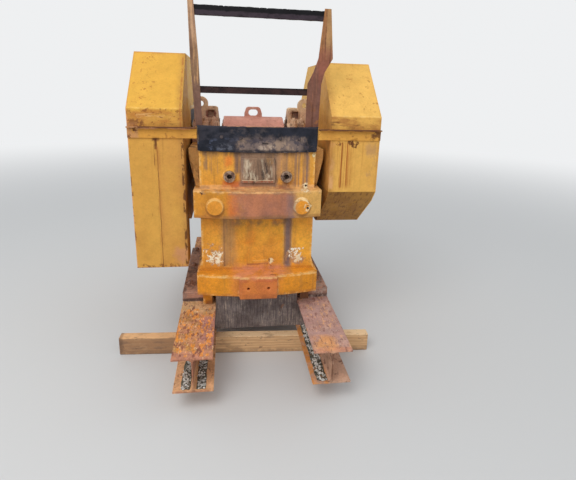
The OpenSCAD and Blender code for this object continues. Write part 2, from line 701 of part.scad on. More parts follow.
// Outline of a guard in Y and Z, drawn smaller by t
module guard_outline(t) {
    d = guard_half_d - t;
    half = [[guard_flat, guard_low_z + t], [d - guard_chin, guard_fold1_z + t * 0.8],
        [d, guard_fold2_z + t * 0.4], [d, guard_fold3_z - t * 0.4], [d - guard_lean, guard_top_z - t]];
    n = len(half) - 1;
    polygon([for (p = half) [y_shaft + p[0], p[1]], for (i = [n : -1 : 0]) [y_shaft - half[i][0], half[i][1]]]);
}
guard_flat = 277;       // half length of a guard's flat bottom
guard_chin = 62;        // the lowest fold lies back this far
guard_lean = 340;       // the front leans back this far up to the top

// Places children at a guard's height: the left one sits higher than the right one
module at_guard(side) left_or_right(side) translate([0, 0, deck - side * guard_step]) children();

module guard_shell(side) at_guard(side) difference() {
    along_x(guard_in, guard_in + guard_w) guard_outline(0);
    along_x(guard_in - 1, guard_in + guard_w - sheet_t) guard_outline(sheet_t);
}
module guard_inner(side) color(ochre) at_guard(side) difference() {
    along_x(guard_in, guard_in + sheet_t) guard_outline(sheet_t + fit);
    bar_x(shaft_r + 40, guard_in - 1, guard_in + sheet_t + 1, y_shaft, shaft_z + side * guard_step);
}
module guard_left() color(ochre) difference() {
    guard_shell(-1);
    translate([-guard_in - guard_w + sheet_t, y_guard + sheet_t, deck + guard_low_z - 50])
        cube([guard_w - 2 * sheet_t, drop_d - 2 * sheet_t, guard_fold2_z - guard_low_z + 50]);
}
module guard_right() color(ochre) guard_shell(1);

// Box under the left guard, open at its top and bottom for the belts
module belt_drop() color(ochre) at_guard(-1) translate([guard_in, y_guard, 0]) difference() {
    slope = (guard_fold1_z - guard_low_z) / (guard_half_d - guard_chin - guard_flat);
    along_x(0, guard_w) translate([0, -fit]) polygon([[0, drop_low_z], [drop_d, drop_low_z],
        [drop_d, guard_fold1_z - slope * (drop_d - guard_chin)], [guard_chin, guard_fold1_z], [0, guard_fold2_z]]);
    translate([sheet_t, sheet_t, drop_low_z - 1])
        cube([guard_w - 2 * sheet_t, drop_d - 2 * sheet_t, guard_fold2_z - drop_low_z]);
}

// Angle bar across a guard's front, with an end plate that goes back past the flap to the front wall's side
module bracket(side) color(ochre) left_or_right(side) translate([0, 0, deck + bracket_z]) {
    y0 = y_guard - fit;
    x0 = max(front_w, flap_w) / 2 + fit;
    along_x(x0, guard_in + guard_w) {
        translate([y0 - bracket_t, -bracket_h]) square([bracket_t, bracket_h]);
        translate([y0 - bracket_d, -bracket_t]) square([bracket_d, bracket_t]);
    }
    translate([x0, y0 - bracket_t, -bracket_h]) cube([bracket_t, y_wall - y0, bracket_h]);
    translate([front_w / 2 + fit, y_front + 10, -bracket_h]) cube([x0 + 1 - front_w / 2 - fit, front_t / 2, bracket_h]);
}
bracket_t = 8;
bracket_d = 30;

// Angle bar from the side wall's rear part to the guard's inner panel
module bracket_rear(side) color(ochre) left_or_right(side)
    translate([0, y_shaft + seat_half_l + bracket_d, deck + top_rib_top_z + 20]) along_x(side_out, guard_in) {
        square([bracket_t, bracket_h]);
        square([bracket_d, bracket_t]);
    }

// The machine's place on the front timber, whose middle is the origin's
module placed() translate([timber_shift, 0, 0]) children();

timber(timber_len, 0, -beam_len / 2 + timber_front_in);  // timber_front
placed() timber(timber_rear_len, 0, beam_len / 2 - timber_rear_in);  // timber_rear
placed() beam(-1);  // beam_left
placed() beam(1);  // beam_right
placed() cross_plate();
placed() foot_rail(-1);  // foot_rail_left
placed() foot_rail(1);  // foot_rail_right
placed() front_wall();
placed() side_wall(-1);  // side_wall_left
placed() side_wall(1);  // side_wall_right
placed() rear_wall();
placed() jaw_washers();
placed() fixed_jaw();
placed() cheek(-1);  // cheek_left
placed() cheek(1);  // cheek_right
placed() bearing(-1);  // bearing_left
placed() bearing(1);  // bearing_right
placed() bearing_cap(-1);  // bearing_cap_left
placed() bearing_cap(1);  // bearing_cap_right
placed() eccentric_shaft();
placed() drive_wheel();
placed() flywheel();
placed() pitman();
placed() swing_jaw();
placed() toggle_seat();
placed() toggle_block();
placed() toggle_plate();
placed() tension_rod();
placed() tension_spring();
placed() rubber_flap();
placed() post_left();
placed() post_right();
placed() mid_bar();
placed() top_bar();
placed() guard_left();
placed() guard_inner(-1);  // guard_left_inner
placed() belt_drop();
placed() guard_right();
placed() guard_inner(1);  // guard_right_inner
placed() bracket(-1);  // bracket_left
placed() bracket(1);  // bracket_right
placed() bracket_rear(-1);  // bracket_rear_left
placed() bracket_rear(1);  // bracket_rear_right
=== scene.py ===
import json
import math
import random

import bmesh
import bpy
from mathutils import Matrix, Vector, noise


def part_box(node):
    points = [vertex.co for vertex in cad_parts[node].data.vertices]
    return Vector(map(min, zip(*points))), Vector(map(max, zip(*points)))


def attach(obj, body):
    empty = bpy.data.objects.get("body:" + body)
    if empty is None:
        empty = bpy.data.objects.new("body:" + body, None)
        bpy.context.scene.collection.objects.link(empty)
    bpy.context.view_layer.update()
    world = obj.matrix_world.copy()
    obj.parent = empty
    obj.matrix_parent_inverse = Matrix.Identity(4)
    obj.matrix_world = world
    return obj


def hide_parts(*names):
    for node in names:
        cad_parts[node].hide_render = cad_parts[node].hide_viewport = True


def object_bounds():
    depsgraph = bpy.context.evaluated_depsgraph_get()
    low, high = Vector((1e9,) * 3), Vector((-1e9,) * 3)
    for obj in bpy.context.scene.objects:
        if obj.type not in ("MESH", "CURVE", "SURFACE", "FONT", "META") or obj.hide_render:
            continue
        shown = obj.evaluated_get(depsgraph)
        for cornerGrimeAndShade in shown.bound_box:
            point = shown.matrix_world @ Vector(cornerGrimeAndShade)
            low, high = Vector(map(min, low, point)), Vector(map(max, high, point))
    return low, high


print("Loading the crusher's frame")
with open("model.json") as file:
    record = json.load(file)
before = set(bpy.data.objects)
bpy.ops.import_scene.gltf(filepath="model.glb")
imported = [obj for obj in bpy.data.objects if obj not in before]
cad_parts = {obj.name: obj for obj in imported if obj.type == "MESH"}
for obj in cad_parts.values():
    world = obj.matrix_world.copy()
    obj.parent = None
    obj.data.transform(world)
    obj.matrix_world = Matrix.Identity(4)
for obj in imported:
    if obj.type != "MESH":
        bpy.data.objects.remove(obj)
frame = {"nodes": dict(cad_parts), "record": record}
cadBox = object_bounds()
random.seed(7)

nodeBody = {}
for bodyName, members in frame["record"]["behaviour"]["bodies"].items():
    for member in members:
        nodeBody[member] = bodyName
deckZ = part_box("beam_left")[1].z    # top of the beams
midX = (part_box("front_wall")[0].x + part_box("front_wall")[1].x) / 2      # the machine's own middle plane
scene = bpy.context.scene


# Node helpers for the materials

def linear(colour):
    # from 0-255 as a paint chart gives it
    parts = [c / 255 for c in colour]
    return (*[c / 12.92 if c <= 0.04045 else ((c + 0.055) / 1.055) ** 2.4 for c in parts], 1)


def feed(tree, socket, value):
    if isinstance(value, bpy.types.NodeSocket):
        tree.links.new(value, socket)
    elif isinstance(value, tuple) and len(value) == 3 and socket.type == "RGBA":
        socket.default_value = linear(value)
    else:
        socket.default_value = value


def addNode(tree, kind, inputs, **settings):
    made = tree.nodes.new("ShaderNode" + kind)
    for key, value in settings.items():
        setattr(made, key, value)
    for key, value in inputs.items():
        feed(tree, made.inputs[key], value)
    return made


def calc(tree, operation, first, second=0.0):
    return addNode(tree, "Math", {0: first, 1: second}, operation=operation).outputs[0]


def product(tree, *values):
    result = values[0]
    for value in values[1:]:
        result = calc(tree, "MULTIPLY", result, value)
    return result


def blendColour(tree, factor, under, over, mode="MIX"):
    made = addNode(tree, "Mix", {0: factor, 6: under, 7: over}, data_type="RGBA", blend_type=mode)
    return made.outputs[2]


def noiseAt(tree, vector, scale, detail=6.0, rough=0.6, stretch=(1, 1, 1), shift=(0, 0, 0), warp=0.0):
    if stretch != (1, 1, 1) or shift != (0, 0, 0):
        vector = addNode(tree, "Mapping", {"Vector": vector, "Scale": stretch, "Location": shift}).outputs[0]
    return addNode(tree, "TexNoise", {"Vector": vector, "Scale": scale, "Detail": detail,
                                      "Roughness": rough, "Distortion": warp}).outputs[0]


def ramp(tree, value, low, high, least=0.0, most=1.0):
    # not clamped: the render engine turns these long chains black otherwise
    step = addNode(tree, "MapRange", {"Value": value, "From Min": low, "From Max": high,
                                      "To Min": least, "To Max": most},
                   interpolation_type="SMOOTHSTEP", clamp=False)
    return step.outputs[0]


def speckle(tree, vector, scale, low, high, **shape):
    return ramp(tree, noiseAt(tree, vector, scale, **shape), low, high)


def band(tree, value, low, high, soft):
    rise = ramp(tree, value, low - soft, low + soft)
    fall = ramp(tree, value, high + soft, high - soft)
    return calc(tree, "MULTIPLY", rise, fall)


def splitAxes(tree, vector):
    parts = addNode(tree, "SeparateXYZ", {"Vector": vector})
    return parts.outputs[0], parts.outputs[1], parts.outputs[2]


def newMaterial(name):
    # its coordinates count from the machine's middle plane and from the top of the beams
    mat = bpy.data.materials.new(name)
    mat.use_nodes = True
    tree = mat.node_tree
    own = tree.nodes.new("ShaderNodeTexCoord").outputs["Object"]
    place = addNode(tree, "VectorMath", {0: own, 1: (midX, 0, deckZ)}, operation="SUBTRACT").outputs[0]
    return mat, tree, place, tree.nodes["Principled BSDF"]


def roughen(tree, shader, height, strength, distance):
    bump = addNode(tree, "Bump", {"Height": height, "Strength": strength, "Distance": distance})
    tree.links.new(bump.outputs[0], shader.inputs["Normal"])


def stainAndLight(colour, amount=1.0, grain=None, soft=0.010, wobble=0.012, ragged=4.5, early=False, **where):
    # Marks are stains; those noted below are painted shade and painted highlights instead.
    # Where: ranges of x, y and z, or a spot at (x, z, radius). Grain breaks it up: noise scale, where it
    # starts and is full, and the noise's stretch. Soft and wobble blur and shake its outline. An early
    # stain lies under the dirt and rust.
    return {"colour": colour, "amount": amount, "grain": grain, "soft": soft, "wobble": wobble,
            "ragged": ragged, "early": early, **where}


def applyStainsAndLight(tree, place, colour, stainsAndLight):
    x, y, z = splitAxes(tree, place)
    shake = calc(tree, "SUBTRACT", noiseAt(tree, place, 17.0, detail=6.0, rough=0.68), 0.5)
    flat = addNode(tree, "CombineXYZ", {0: x, 1: 0.0, 2: z}).outputs[0]
    for number, mark in enumerate(stainsAndLight):
        wave = calc(tree, "MULTIPLY", shake, mark["wobble"] * 2)
        mask = mark["amount"]
        for axis, key in ((x, "x"), (y, "y"), (z, "z")):
            if key in mark:
                moved = calc(tree, "ADD", axis, wave)
                mask = product(tree, mask, band(tree, moved, *mark[key], mark["soft"]))
        if "spot" in mark:
            px, pz, radius = mark["spot"]
            apart = addNode(tree, "VectorMath", {0: flat, 1: (px, 0, pz)}, operation="DISTANCE").outputs["Value"]
            ragged = calc(tree, "MULTIPLY", shake, radius * mark["ragged"])
            mask = product(tree, mask, ramp(tree, calc(tree, "ADD", apart, ragged), radius * 1.06, radius * 0.88))
        if mark["grain"]:
            scale, low, high, *stretch = mark["grain"]
            mask = product(tree, mask, speckle(tree, place, scale, low, high, detail=7.0, rough=0.66,
                                               stretch=stretch[0] if stretch else (1, 1, 1),
                                               shift=(number * 1.7, 0.3, number * 0.9)))
        colour = blendColour(tree, mask, colour, mark["colour"])
    return colour


# Camera, light and floor

print("Setting the camera and the light")
cameraSetup = {
    "place": (-0.103, -2.994, 1.696),
    "pitch": 16.05,      # degrees down
    "yaw": 8.15,         # degrees to the right of straight ahead
    "roll": -1.61,
    "focalPixels": 425,
    "imageSize": (576, 480),
    "middleRow": 216,    # image row of the optical axis
    "sensor": 36,
}


def aimCamera(setup):
    pitch, yaw, roll = (math.radians(setup[key]) for key in ("pitch", "yaw", "roll"))
    ahead = Vector((math.sin(yaw) * math.cos(pitch), math.cos(yaw) * math.cos(pitch), -math.sin(pitch)))
    right = Vector((math.cos(yaw), -math.sin(yaw), 0))
    down = Vector((-math.sin(yaw) * math.sin(pitch), -math.cos(yaw) * math.sin(pitch), -math.cos(pitch)))
    pictureRight = math.cos(roll) * right + math.sin(roll) * down
    pictureDown = math.cos(roll) * down - math.sin(roll) * right
    data = bpy.data.cameras.new("yardCamera")
    width, height = setup["imageSize"]
    data.sensor_width = setup["sensor"]
    data.lens = setup["focalPixels"] / width * setup["sensor"]
    data.shift_y = (setup["middleRow"] - height / 2) / width
    camera = bpy.data.objects.new("yardCamera", data)
    axes = Matrix((pictureRight, -pictureDown, -ahead)).transposed()
    camera.matrix_world = Matrix.Translation(setup["place"]) @ axes.to_4x4()
    scene.collection.objects.link(camera)
    scene.camera = camera


aimCamera(cameraSetup)

lightSetup = {
    "skyColour": (0.93, 0.96, 1.0, 1),
    "skyStrength": 0.80,
    "backColour": (0.86, 0.87, 0.88, 1),
    "keyPlace": (-2.1, -3.6, 5.2),
    "keyAim": (0.07, 0, 1.0),
    "keySize": 3.2,
    "keyPower": 150,
    "floorColour": (0.62, 0.62, 0.61, 1),
    "floorRough": 0.85,
    "floorRadius": 40,
    "fadeFrom": 3.5,
    "fadeTo": 13,
}
scene.view_settings.view_transform = "Standard"


def buildLight(setup):
    world = bpy.data.worlds.new("softSky")
    scene.world = world
    world.use_nodes = True
    tree = world.node_tree
    sky = tree.nodes["Background"]
    sky.inputs["Color"].default_value = setup["skyColour"]
    sky.inputs["Strength"].default_value = setup["skyStrength"]
    # the camera and reflections see a plain back, all else is lit by the sky
    seen = addNode(tree, "Background", {"Color": setup["backColour"]})
    path = addNode(tree, "LightPath", {})
    either = calc(tree, "MAXIMUM", path.outputs["Is Camera Ray"], path.outputs["Is Glossy Ray"])
    pick = addNode(tree, "MixShader", {0: either, 1: sky.outputs[0], 2: seen.outputs[0]})
    tree.links.new(pick.outputs[0], tree.nodes["World Output"].inputs["Surface"])
    lamp = bpy.data.lights.new("skyPanel", "AREA")
    lamp.shape = "SQUARE"
    lamp.size = setup["keySize"]
    lamp.energy = setup["keyPower"]
    key = bpy.data.objects.new("skyPanel", lamp)
    key.location = setup["keyPlace"]
    key.rotation_euler = (Vector(setup["keyAim"]) - key.location).to_track_quat("-Z", "Y").to_euler()
    scene.collection.objects.link(key)


def buildFloor(setup):
    bm = bmesh.new()
    bmesh.ops.create_circle(bm, cap_ends=True, segments=96, radius=setup["floorRadius"])
    mesh = bpy.data.meshes.new("studioFloor")
    bm.to_mesh(mesh)
    bm.free()
    floor = bpy.data.objects.new("studioFloor", mesh)
    floor.location.z = cadBox[0].z
    scene.collection.objects.link(floor)
    mat = bpy.data.materials.new("studioFloor")
    mat.use_nodes = True
    tree = mat.node_tree
    shader = tree.nodes["Principled BSDF"]
    shader.inputs["Base Color"].default_value = setup["floorColour"]
    shader.inputs["Roughness"].default_value = setup["floorRough"]
    # far from the machine the floor fades into the back
    place = addNode(tree, "TexCoord", {}).outputs["Object"]
    far = addNode(tree, "VectorMath", {0: place}, operation="LENGTH").outputs["Value"]
    fade = addNode(tree, "MapRange", {"Value": far, "From Min": setup["fadeFrom"], "From Max": setup["fadeTo"]},
                   interpolation_type="SMOOTHSTEP")
    path = addNode(tree, "LightPath", {})
    both = calc(tree, "MULTIPLY", fade.outputs[0], path.outputs["Is Camera Ray"])
    glow = addNode(tree, "Emission", {"Color": setup["backColour"]})
    pick = addNode(tree, "MixShader", {0: both, 1: shader.outputs[0], 2: glow.outputs[0]})
    tree.links.new(pick.outputs[0], tree.nodes["Material Output"].inputs["Surface"])
    mesh.materials.append(mat)


buildLight(lightSetup)
buildFloor(lightSetup)


# Weathered finishes: a base colour, its drift, downward streaks, rust patches, grime and painted shade in corners,
# worn edges with a painted highlight, and stains with painted light and shade

def weathered(name, look):
    mat, tree, place, shader = newMaterial(name)
    drift = speckle(tree, place, look["driftScale"], 0.35, 0.68, detail=4.0)
    colour = blendColour(tree, drift, look["colour"], look["drift"])
    early = [mark for mark in look["stainsAndLight"] if mark["early"]]
    late = [mark for mark in look["stainsAndLight"] if not mark["early"]]
    if early:
        colour = applyStainsAndLight(tree, place, colour, early)
    fine = speckle(tree, place, look["driftScale"] * 9, 0.4, 0.75, detail=8.0, rough=0.7)
    colour = blendColour(tree, calc(tree, "MULTIPLY", fine, look["grime"]), colour, look["dirt"])
    if look["streak"] > 0:
        run = speckle(tree, place, 1.0, look["streakFrom"], look["streakFrom"] + 0.16, detail=7.0, rough=0.66,
                      stretch=(look["streakFine"], look["streakFine"], look["streakFine"] * 0.05), shift=(3, 1, 0))
        colour = blendColour(tree, calc(tree, "MULTIPLY", run, look["streak"]), colour, look["dirt"])
    eaten = speckle(tree, place, look["rustScale"], look["rustFrom"], look["rustFrom"] + 0.07, detail=9.0, rough=0.68,
                    shift=(0, 5, 2), warp=0.4)
    hue = speckle(tree, place, look["rustScale"] * 6, 0.3, 0.7, detail=6.0)
    colour = blendColour(tree, eaten, colour, blendColour(tree, hue, look["rust"], look["rustDark"]))
    # grime in the corners, darkened further as painted shade where shadow falls in them
    if look["cornerGrimeAndShade"] > 0:
        openness = addNode(tree, "AmbientOcclusion", {"Distance": 0.045}, samples=4)
        shut = ramp(tree, openness.outputs["AO"], 0.75, 0.25)
        broken = ramp(tree, noiseAt(tree, place, 26.0, detail=6.0), 0.30, 0.55, 0.35, 1.0)
        colour = blendColour(tree, product(tree, shut, broken, look["cornerGrimeAndShade"]), colour, look["cornerGrimeAndShadeColour"])
    # pale convex edges: worn paint, and a painted highlight along them as well
    if look["edge"] > 0:
        inner = addNode(tree, "AmbientOcclusion", {"Distance": look["edgeReach"]}, inside=True, samples=4)
        worn = calc(tree, "SUBTRACT", 1.0, inner.outputs["AO"])
        broken = speckle(tree, place, 34.0, 0.36, 0.62, detail=5.0)
        worn = ramp(tree, calc(tree, "MULTIPLY", worn, broken), 0.10, 0.34)
        colour = blendColour(tree, calc(tree, "MULTIPLY", worn, look["edge"]), colour, look["edgeWearAndHighlightColour"])
    if late:
        colour = applyStainsAndLight(tree, place, colour, late)
    small = noiseAt(tree, place, look["mottleScale"], detail=9.0, rough=0.74)
    large = noiseAt(tree, place, look["mottleScale"] * 0.16, detail=3.0, rough=0.5)
    mottle = calc(tree, "ADD", calc(tree, "MULTIPLY", small, 0.6), calc(tree, "MULTIPLY", large, 0.4))
    value = ramp(tree, mottle, 0.36, 0.64, 1 - look["mottle"], 1 + look["mottle"])
    shaded = addNode(tree, "HueSaturation", {"Value": value, "Color": colour}).outputs[0]
    tree.links.new(shaded, shader.inputs["Base Color"])
    rough = ramp(tree, calc(tree, "MAXIMUM", eaten, fine), 0.0, 1.0, *look["rough"])
    tree.links.new(rough, shader.inputs["Roughness"])
    shader.inputs["Metallic"].default_value = look["metal"]
    shader.inputs["Specular IOR Level"].default_value = look["shine"]
    pits = noiseAt(tree, place, look["pitScale"], detail=8.0, rough=0.72)
    lumps = noiseAt(tree, place, look["lumpScale"], detail=3.0, rough=0.5, shift=(4, 0, 1))
    height = calc(tree, "ADD", calc(tree, "MULTIPLY", pits, 0.25), calc(tree, "MULTIPLY", eaten, 0.25))
    height = calc(tree, "ADD", height, calc(tree, "MULTIPLY", lumps, look["lump"]))
    roughen(tree, shader, height, look["bump"], look["bumpDepth"])
    return mat


plainLook = {
    "colour": (217, 148, 44), "drift": (203, 133, 40), "driftScale": 3.0,
    "dirt": (150, 104, 62), "grime": 0.45,
    "streak": 0.5, "streakFine": 16, "streakFrom": 0.53,
    "rust": (142, 84, 48), "rustDark": (96, 60, 44), "rustScale": 7.0, "rustFrom": 0.64,
    "cornerGrimeAndShade": 0.0, "cornerGrimeAndShadeColour": (88, 64, 50),
    "edge": 0.6, "edgeReach": 0.012, "edgeWearAndHighlightColour": (232, 190, 118),
    "mottle": 0.13, "mottleScale": 85.0, "stainsAndLight": (), "metal": 0.0, "shine": 0.16,
    "rough": (0.55, 0.85), "pitScale": 120.0, "bump": 0.5, "bumpDepth": 0.006, "lump": 0.5, "lumpScale": 9.0,
}


# Stains, painted shade and painted highlights of the front wall: they follow its ribs, grooves and the flap's lower
# edge

down = (30, 3, 1.1)      # grain that runs down
frontStainsAndLight = (
    stainAndLight((200, 134, 46), 0.8, z=(0.6, 0.812), soft=0.006, wobble=0.002, early=True),
    stainAndLight((232, 182, 104), 0.8, x=(0.22, 0.45), z=(0.6, 0.812), soft=0.03, early=True),
    stainAndLight((224, 158, 62), 0.8, z=(0.812, 1.2), soft=0.006, early=True),
    stainAndLight((226, 144, 38), 0.8, z=(0, 0.262), soft=0.006, early=True),
    # brown and grey wash over the middle
    stainAndLight((184, 118, 88), 0.92, (6, 0.2, 0.48), x=(-0.165, 0.205), z=(0.612, 0.8), soft=0.035),
    stainAndLight((142, 100, 92), 0.5, (5, 0.42, 0.64, (1, 1, 0.6)), x=(-0.15, 0.2), z=(0.612, 0.79), soft=0.05),
    stainAndLight((214, 110, 50), 0.7, (9, 0.35, 0.6, (1, 1, 0.5)), x=(-0.195, -0.135), z=(0.63, 0.79), soft=0.032,
          wobble=0.02),
    # pale top of the upper rib: worn paint, lightened further as a painted highlight
    stainAndLight((238, 186, 122), 0.75, (14, 0.34, 0.56), z=(0.782, 0.812), soft=0.004, wobble=0.004),
    stainAndLight((158, 122, 98), 0.5, (26, 0.5, 0.6, (0.7, 1, 1)), z=(0.77, 0.806), soft=0.006, wobble=0.01),
    stainAndLight((192, 100, 60), 0.8, (12, 0.32, 0.6), x=(-0.22, 0.1), z=(0.797, 0.835), soft=0.012),
    stainAndLight((160, 112, 84), 0.6, (16, 0.36, 0.6), x=(0.1, 0.235), z=(0.8, 0.835), soft=0.012),
    stainAndLight((156, 122, 104), 0.7, (1, 0.32, 0.56, down), x=(0.11, 0.205), z=(0.85, 1.03), soft=0.02),
    stainAndLight((176, 124, 84), 0.6, (1, 0.46, 0.62, (40, 3, 1.4)), x=(-0.32, -0.2), z=(0.88, 1.03), soft=0.02),
    # darker lower edge of the upper rib: painted shade
    stainAndLight((150, 96, 52), 0.5, z=(0.6, 0.64), soft=0.006, wobble=0.004),
    stainAndLight((146, 118, 100), 0.9, (12, 0.18, 0.48, (1, 1, 0.5)), x=(-0.115, 0.12), z=(0.8, 1.02), soft=0.012),
    stainAndLight((104, 84, 70), 0.75, (1, 0.4, 0.58, (26, 3, 3)), x=(-0.1, 0.1), z=(0.835, 0.975), soft=0.014),
    stainAndLight((212, 196, 168), 0.75, (20, 0.52, 0.6, (1.6, 1, 0.35)), x=(-0.095, 0.095), z=(0.84, 0.97), soft=0.016),
    stainAndLight((214, 198, 170), 0.6, (22, 0.46, 0.56, (1.6, 1, 0.35)), x=(-0.085, -0.035), z=(0.85, 0.97), soft=0.012),
    stainAndLight((206, 186, 158), 0.6, (26, 0.48, 0.58, (1.6, 1, 0.35)), x=(0.02, 0.085), z=(0.86, 0.97), soft=0.012),
    stainAndLight((66, 54, 50), 0.8, (22, 0.55, 0.62, (1.5, 1, 0.4)), x=(-0.09, 0.12), z=(0.815, 0.98), soft=0.02),
    stainAndLight((226, 196, 160), 0.8, (24, 0.4, 0.54), x=(-0.1, 0.094), z=(0.838, 0.843), soft=0.002, wobble=0.003),
    stainAndLight((176, 78, 40), 0.75, (34, 0.44, 0.54), x=(-0.098, 0.092), z=(0.829, 0.836), soft=0.003, wobble=0.006),
    stainAndLight((158, 118, 84), 0.75, (1, 0.4, 0.6, down), x=(0.12, 0.33), z=(0.8, 1.03), soft=0.02),
    stainAndLight((112, 96, 96), 0.65, (1, 0.38, 0.58, down), x=(0.225, 0.262), z=(0.8, 1.03), soft=0.012),
    stainAndLight((106, 92, 98), 0.75, (1, 0.34, 0.56, down), x=(0.285, 0.315), z=(0.79, 1.03), soft=0.01),
    stainAndLight((96, 82, 84), 0.8, (1, 0.36, 0.56, down), x=(-0.145, -0.095), z=(0.885, 1.03), soft=0.014),
    stainAndLight((132, 104, 82), 0.7, (1, 0.4, 0.58, down), x=(-0.33, -0.285), z=(0.9, 1.03), soft=0.014, wobble=0.03),
    stainAndLight((226, 122, 52), 0.7, (14, 0.3, 0.54), x=(-0.2, -0.155), z=(0.92, 0.99), soft=0.018),
    stainAndLight((104, 80, 64), 0.6, (1, 0.38, 0.6, (34, 3, 4)), z=(0.985, 1.05), soft=0.02),
    # bosses: painted shade below each, a painted highlight on the upper rim, then the boss's own colour
    stainAndLight((184, 118, 56), 0.6, (9, 0.36, 0.6), x=(-0.36, -0.2), z=(0.6, 0.7), soft=0.03),
    stainAndLight((150, 96, 46), 0.6, spot=(-0.263, 0.684, 0.06), ragged=0.3),
    stainAndLight((242, 190, 112), 0.8, (16, 0.3, 0.5), spot=(-0.265, 0.698, 0.0535), ragged=0.15),
    stainAndLight((222, 144, 46), 0.9, spot=(-0.265, 0.692, 0.0465), ragged=0.2),
    stainAndLight((156, 106, 60), 0.6, spot=(0.268, 0.684, 0.06), ragged=0.3),
    stainAndLight((248, 220, 168), 0.85, (18, 0.4, 0.54), spot=(0.262, 0.7, 0.054), ragged=0.2),
    stainAndLight((234, 150, 40), 0.95, spot=(0.265, 0.691, 0.0465), ragged=0.25),
    stainAndLight((240, 214, 168), 0.9, (44, 0.48, 0.53), spot=(0.298, 0.694, 0.022)),
    stainAndLight((136, 110, 108), 0.7, (8, 0.34, 0.56, (1.4, 1, 0.4)), x=(0.165, 0.225), z=(0.612, 0.78), soft=0.03,
          wobble=0.02),
    # lower panel
    stainAndLight((120, 101, 102), 0.92, (1, 0.16, 0.46, down), x=(0.174, 0.22), z=(0.255, 0.63), soft=0.016, wobble=0.006),
    stainAndLight((176, 116, 70), 0.6, (1, 0.4, 0.6, down), x=(0.222, 0.25), z=(0.3, 0.63), soft=0.012),
    stainAndLight((168, 126, 84), 0.75, (6, 0.28, 0.54, (1.8, 1, 0.35)), x=(-0.23, -0.135), z=(0.27, 0.63), soft=0.035,
          wobble=0.02),
    stainAndLight((150, 84, 40), 0.85, (20, 0.36, 0.5, (0.5, 1, 1)), x=(-0.07, 0.07), z=(0.277, 0.287), soft=0.003,
          wobble=0.008),
    stainAndLight((248, 196, 110), 0.7, (20, 0.4, 0.54, (0.5, 1, 1)), x=(-0.03, 0.06), z=(0.302, 0.309), soft=0.003,
          wobble=0.02),
    stainAndLight((124, 102, 92), 0.6, (1, 0.42, 0.6, down), x=(-0.222, -0.196), z=(0.27, 0.63), soft=0.01),
    stainAndLight((128, 100, 76), 0.8, (16, 0.34, 0.6, (1, 1, 0.7)), x=(-0.17, 0.2), z=(0.545, 0.64), soft=0.02),
    # painted shadow under the upper rib
    stainAndLight((72, 48, 36), 0.9, y=(-0.41, -0.3), z=(0.598, 0.64), soft=0.012, wobble=0.004),
    stainAndLight((232, 128, 38), 0.5, (7, 0.45, 0.7), x=(-0.16, 0.16), z=(0.26, 0.6), soft=0.03),
    # lower rib and its pad
    stainAndLight((210, 124, 66), 0.6, (9, 0.36, 0.6), x=(-0.18, 0.15), z=(0.05, 0.262), soft=0.04),
    stainAndLight((204, 112, 66), 0.65, x=(-0.123, 0.123), z=(0.05, 0.243), soft=0.004, wobble=0.002),
    stainAndLight((196, 96, 52), 0.6, (20, 0.34, 0.56), x=(-0.123, 0.123), z=(0.212, 0.24), soft=0.004, wobble=0.004),
    stainAndLight((212, 142, 112), 0.8, (12, 0.3, 0.56), x=(-0.15, 0.18), z=(0.235, 0.275), soft=0.03, wobble=0.03),
    # pale top edge of the lower rib: painted highlight
    stainAndLight((250, 202, 130), 0.7, (18, 0.36, 0.54), z=(0.232, 0.243), soft=0.003),
    stainAndLight((150, 88, 56), 0.5, (14, 0.38, 0.6), z=(0, 0.125), soft=0.012),
    stainAndLight((112, 78, 62), 0.9, x=(0.1, 0.42), z=(-0.02, 0.064), soft=0.006),
    stainAndLight((150, 90, 50), 0.7, x=(-0.34, -0.1), z=(-0.02, 0.03), soft=0.012),
    # peeled paint and chips
    stainAndLight((188, 140, 100), 0.85, (26, 0.48, 0.56), spot=(-0.262, 0.342, 0.064)),
    stainAndLight((240, 226, 194), 1, (46, 0.5, 0.53, (1, 1, 0.8)), spot=(-0.264, 0.34, 0.054)),
    stainAndLight((244, 232, 204), 1, (48, 0.49, 0.52), spot=(-0.254, 0.332, 0.034)),
    stainAndLight((236, 214, 176), 1, (60, 0.46, 0.5), spot=(-0.256, 0.29, 0.014)),
    stainAndLight((188, 140, 100), 0.9, (26, 0.46, 0.54), spot=(0.251, 0.334, 0.058)),
    stainAndLight((244, 234, 212), 1, (50, 0.49, 0.52, (1, 1, 0.8)), spot=(0.258, 0.35, 0.042)),
    stainAndLight((236, 214, 176), 1, (46, 0.49, 0.53), spot=(0.262, 0.318, 0.026)),
    stainAndLight((140, 80, 44), 0.85, (26, 0.44, 0.52), spot=(0.094, 0.284, 0.024)),
    stainAndLight((246, 224, 176), 1, (60, 0.47, 0.5, (1, 1, 0.6)), spot=(0.094, 0.298, 0.018)),
    stainAndLight((232, 214, 176), 1, (36, 0.46, 0.5), spot=(0.293, 0.801, 0.026)),
    stainAndLight((50, 36, 32), spot=(0.3, 0.806, 0.009)),
    stainAndLight((54, 38, 32), 1, (60, 0.46, 0.5), spot=(0.3, 0.712, 0.009)),
    stainAndLight((60, 42, 34), 1, (60, 0.44, 0.48), spot=(0.299, 0.69, 0.006)),
    stainAndLight((228, 208, 160), 1, (50, 0.46, 0.5), spot=(0.345, 1, 0.016)),
    stainAndLight((96, 62, 44), 1, (50, 0.46, 0.5), spot=(-0.345, 0.775, 0.012)),
)

# Stains, painted light and painted shade of the guards: x below 0 is the left one
face, bracketFace = (-0.46, -0.40), (-0.50, -0.4325)       # y of the sheet fronts and of the brackets
leftGuard, rightGuard, rightFront = (-0.9, -0.3), (0.3, 0.9), (0.3, 0.7465)
leftInner, rightInner = (-0.446, -0.425), (0.425, 0.446)

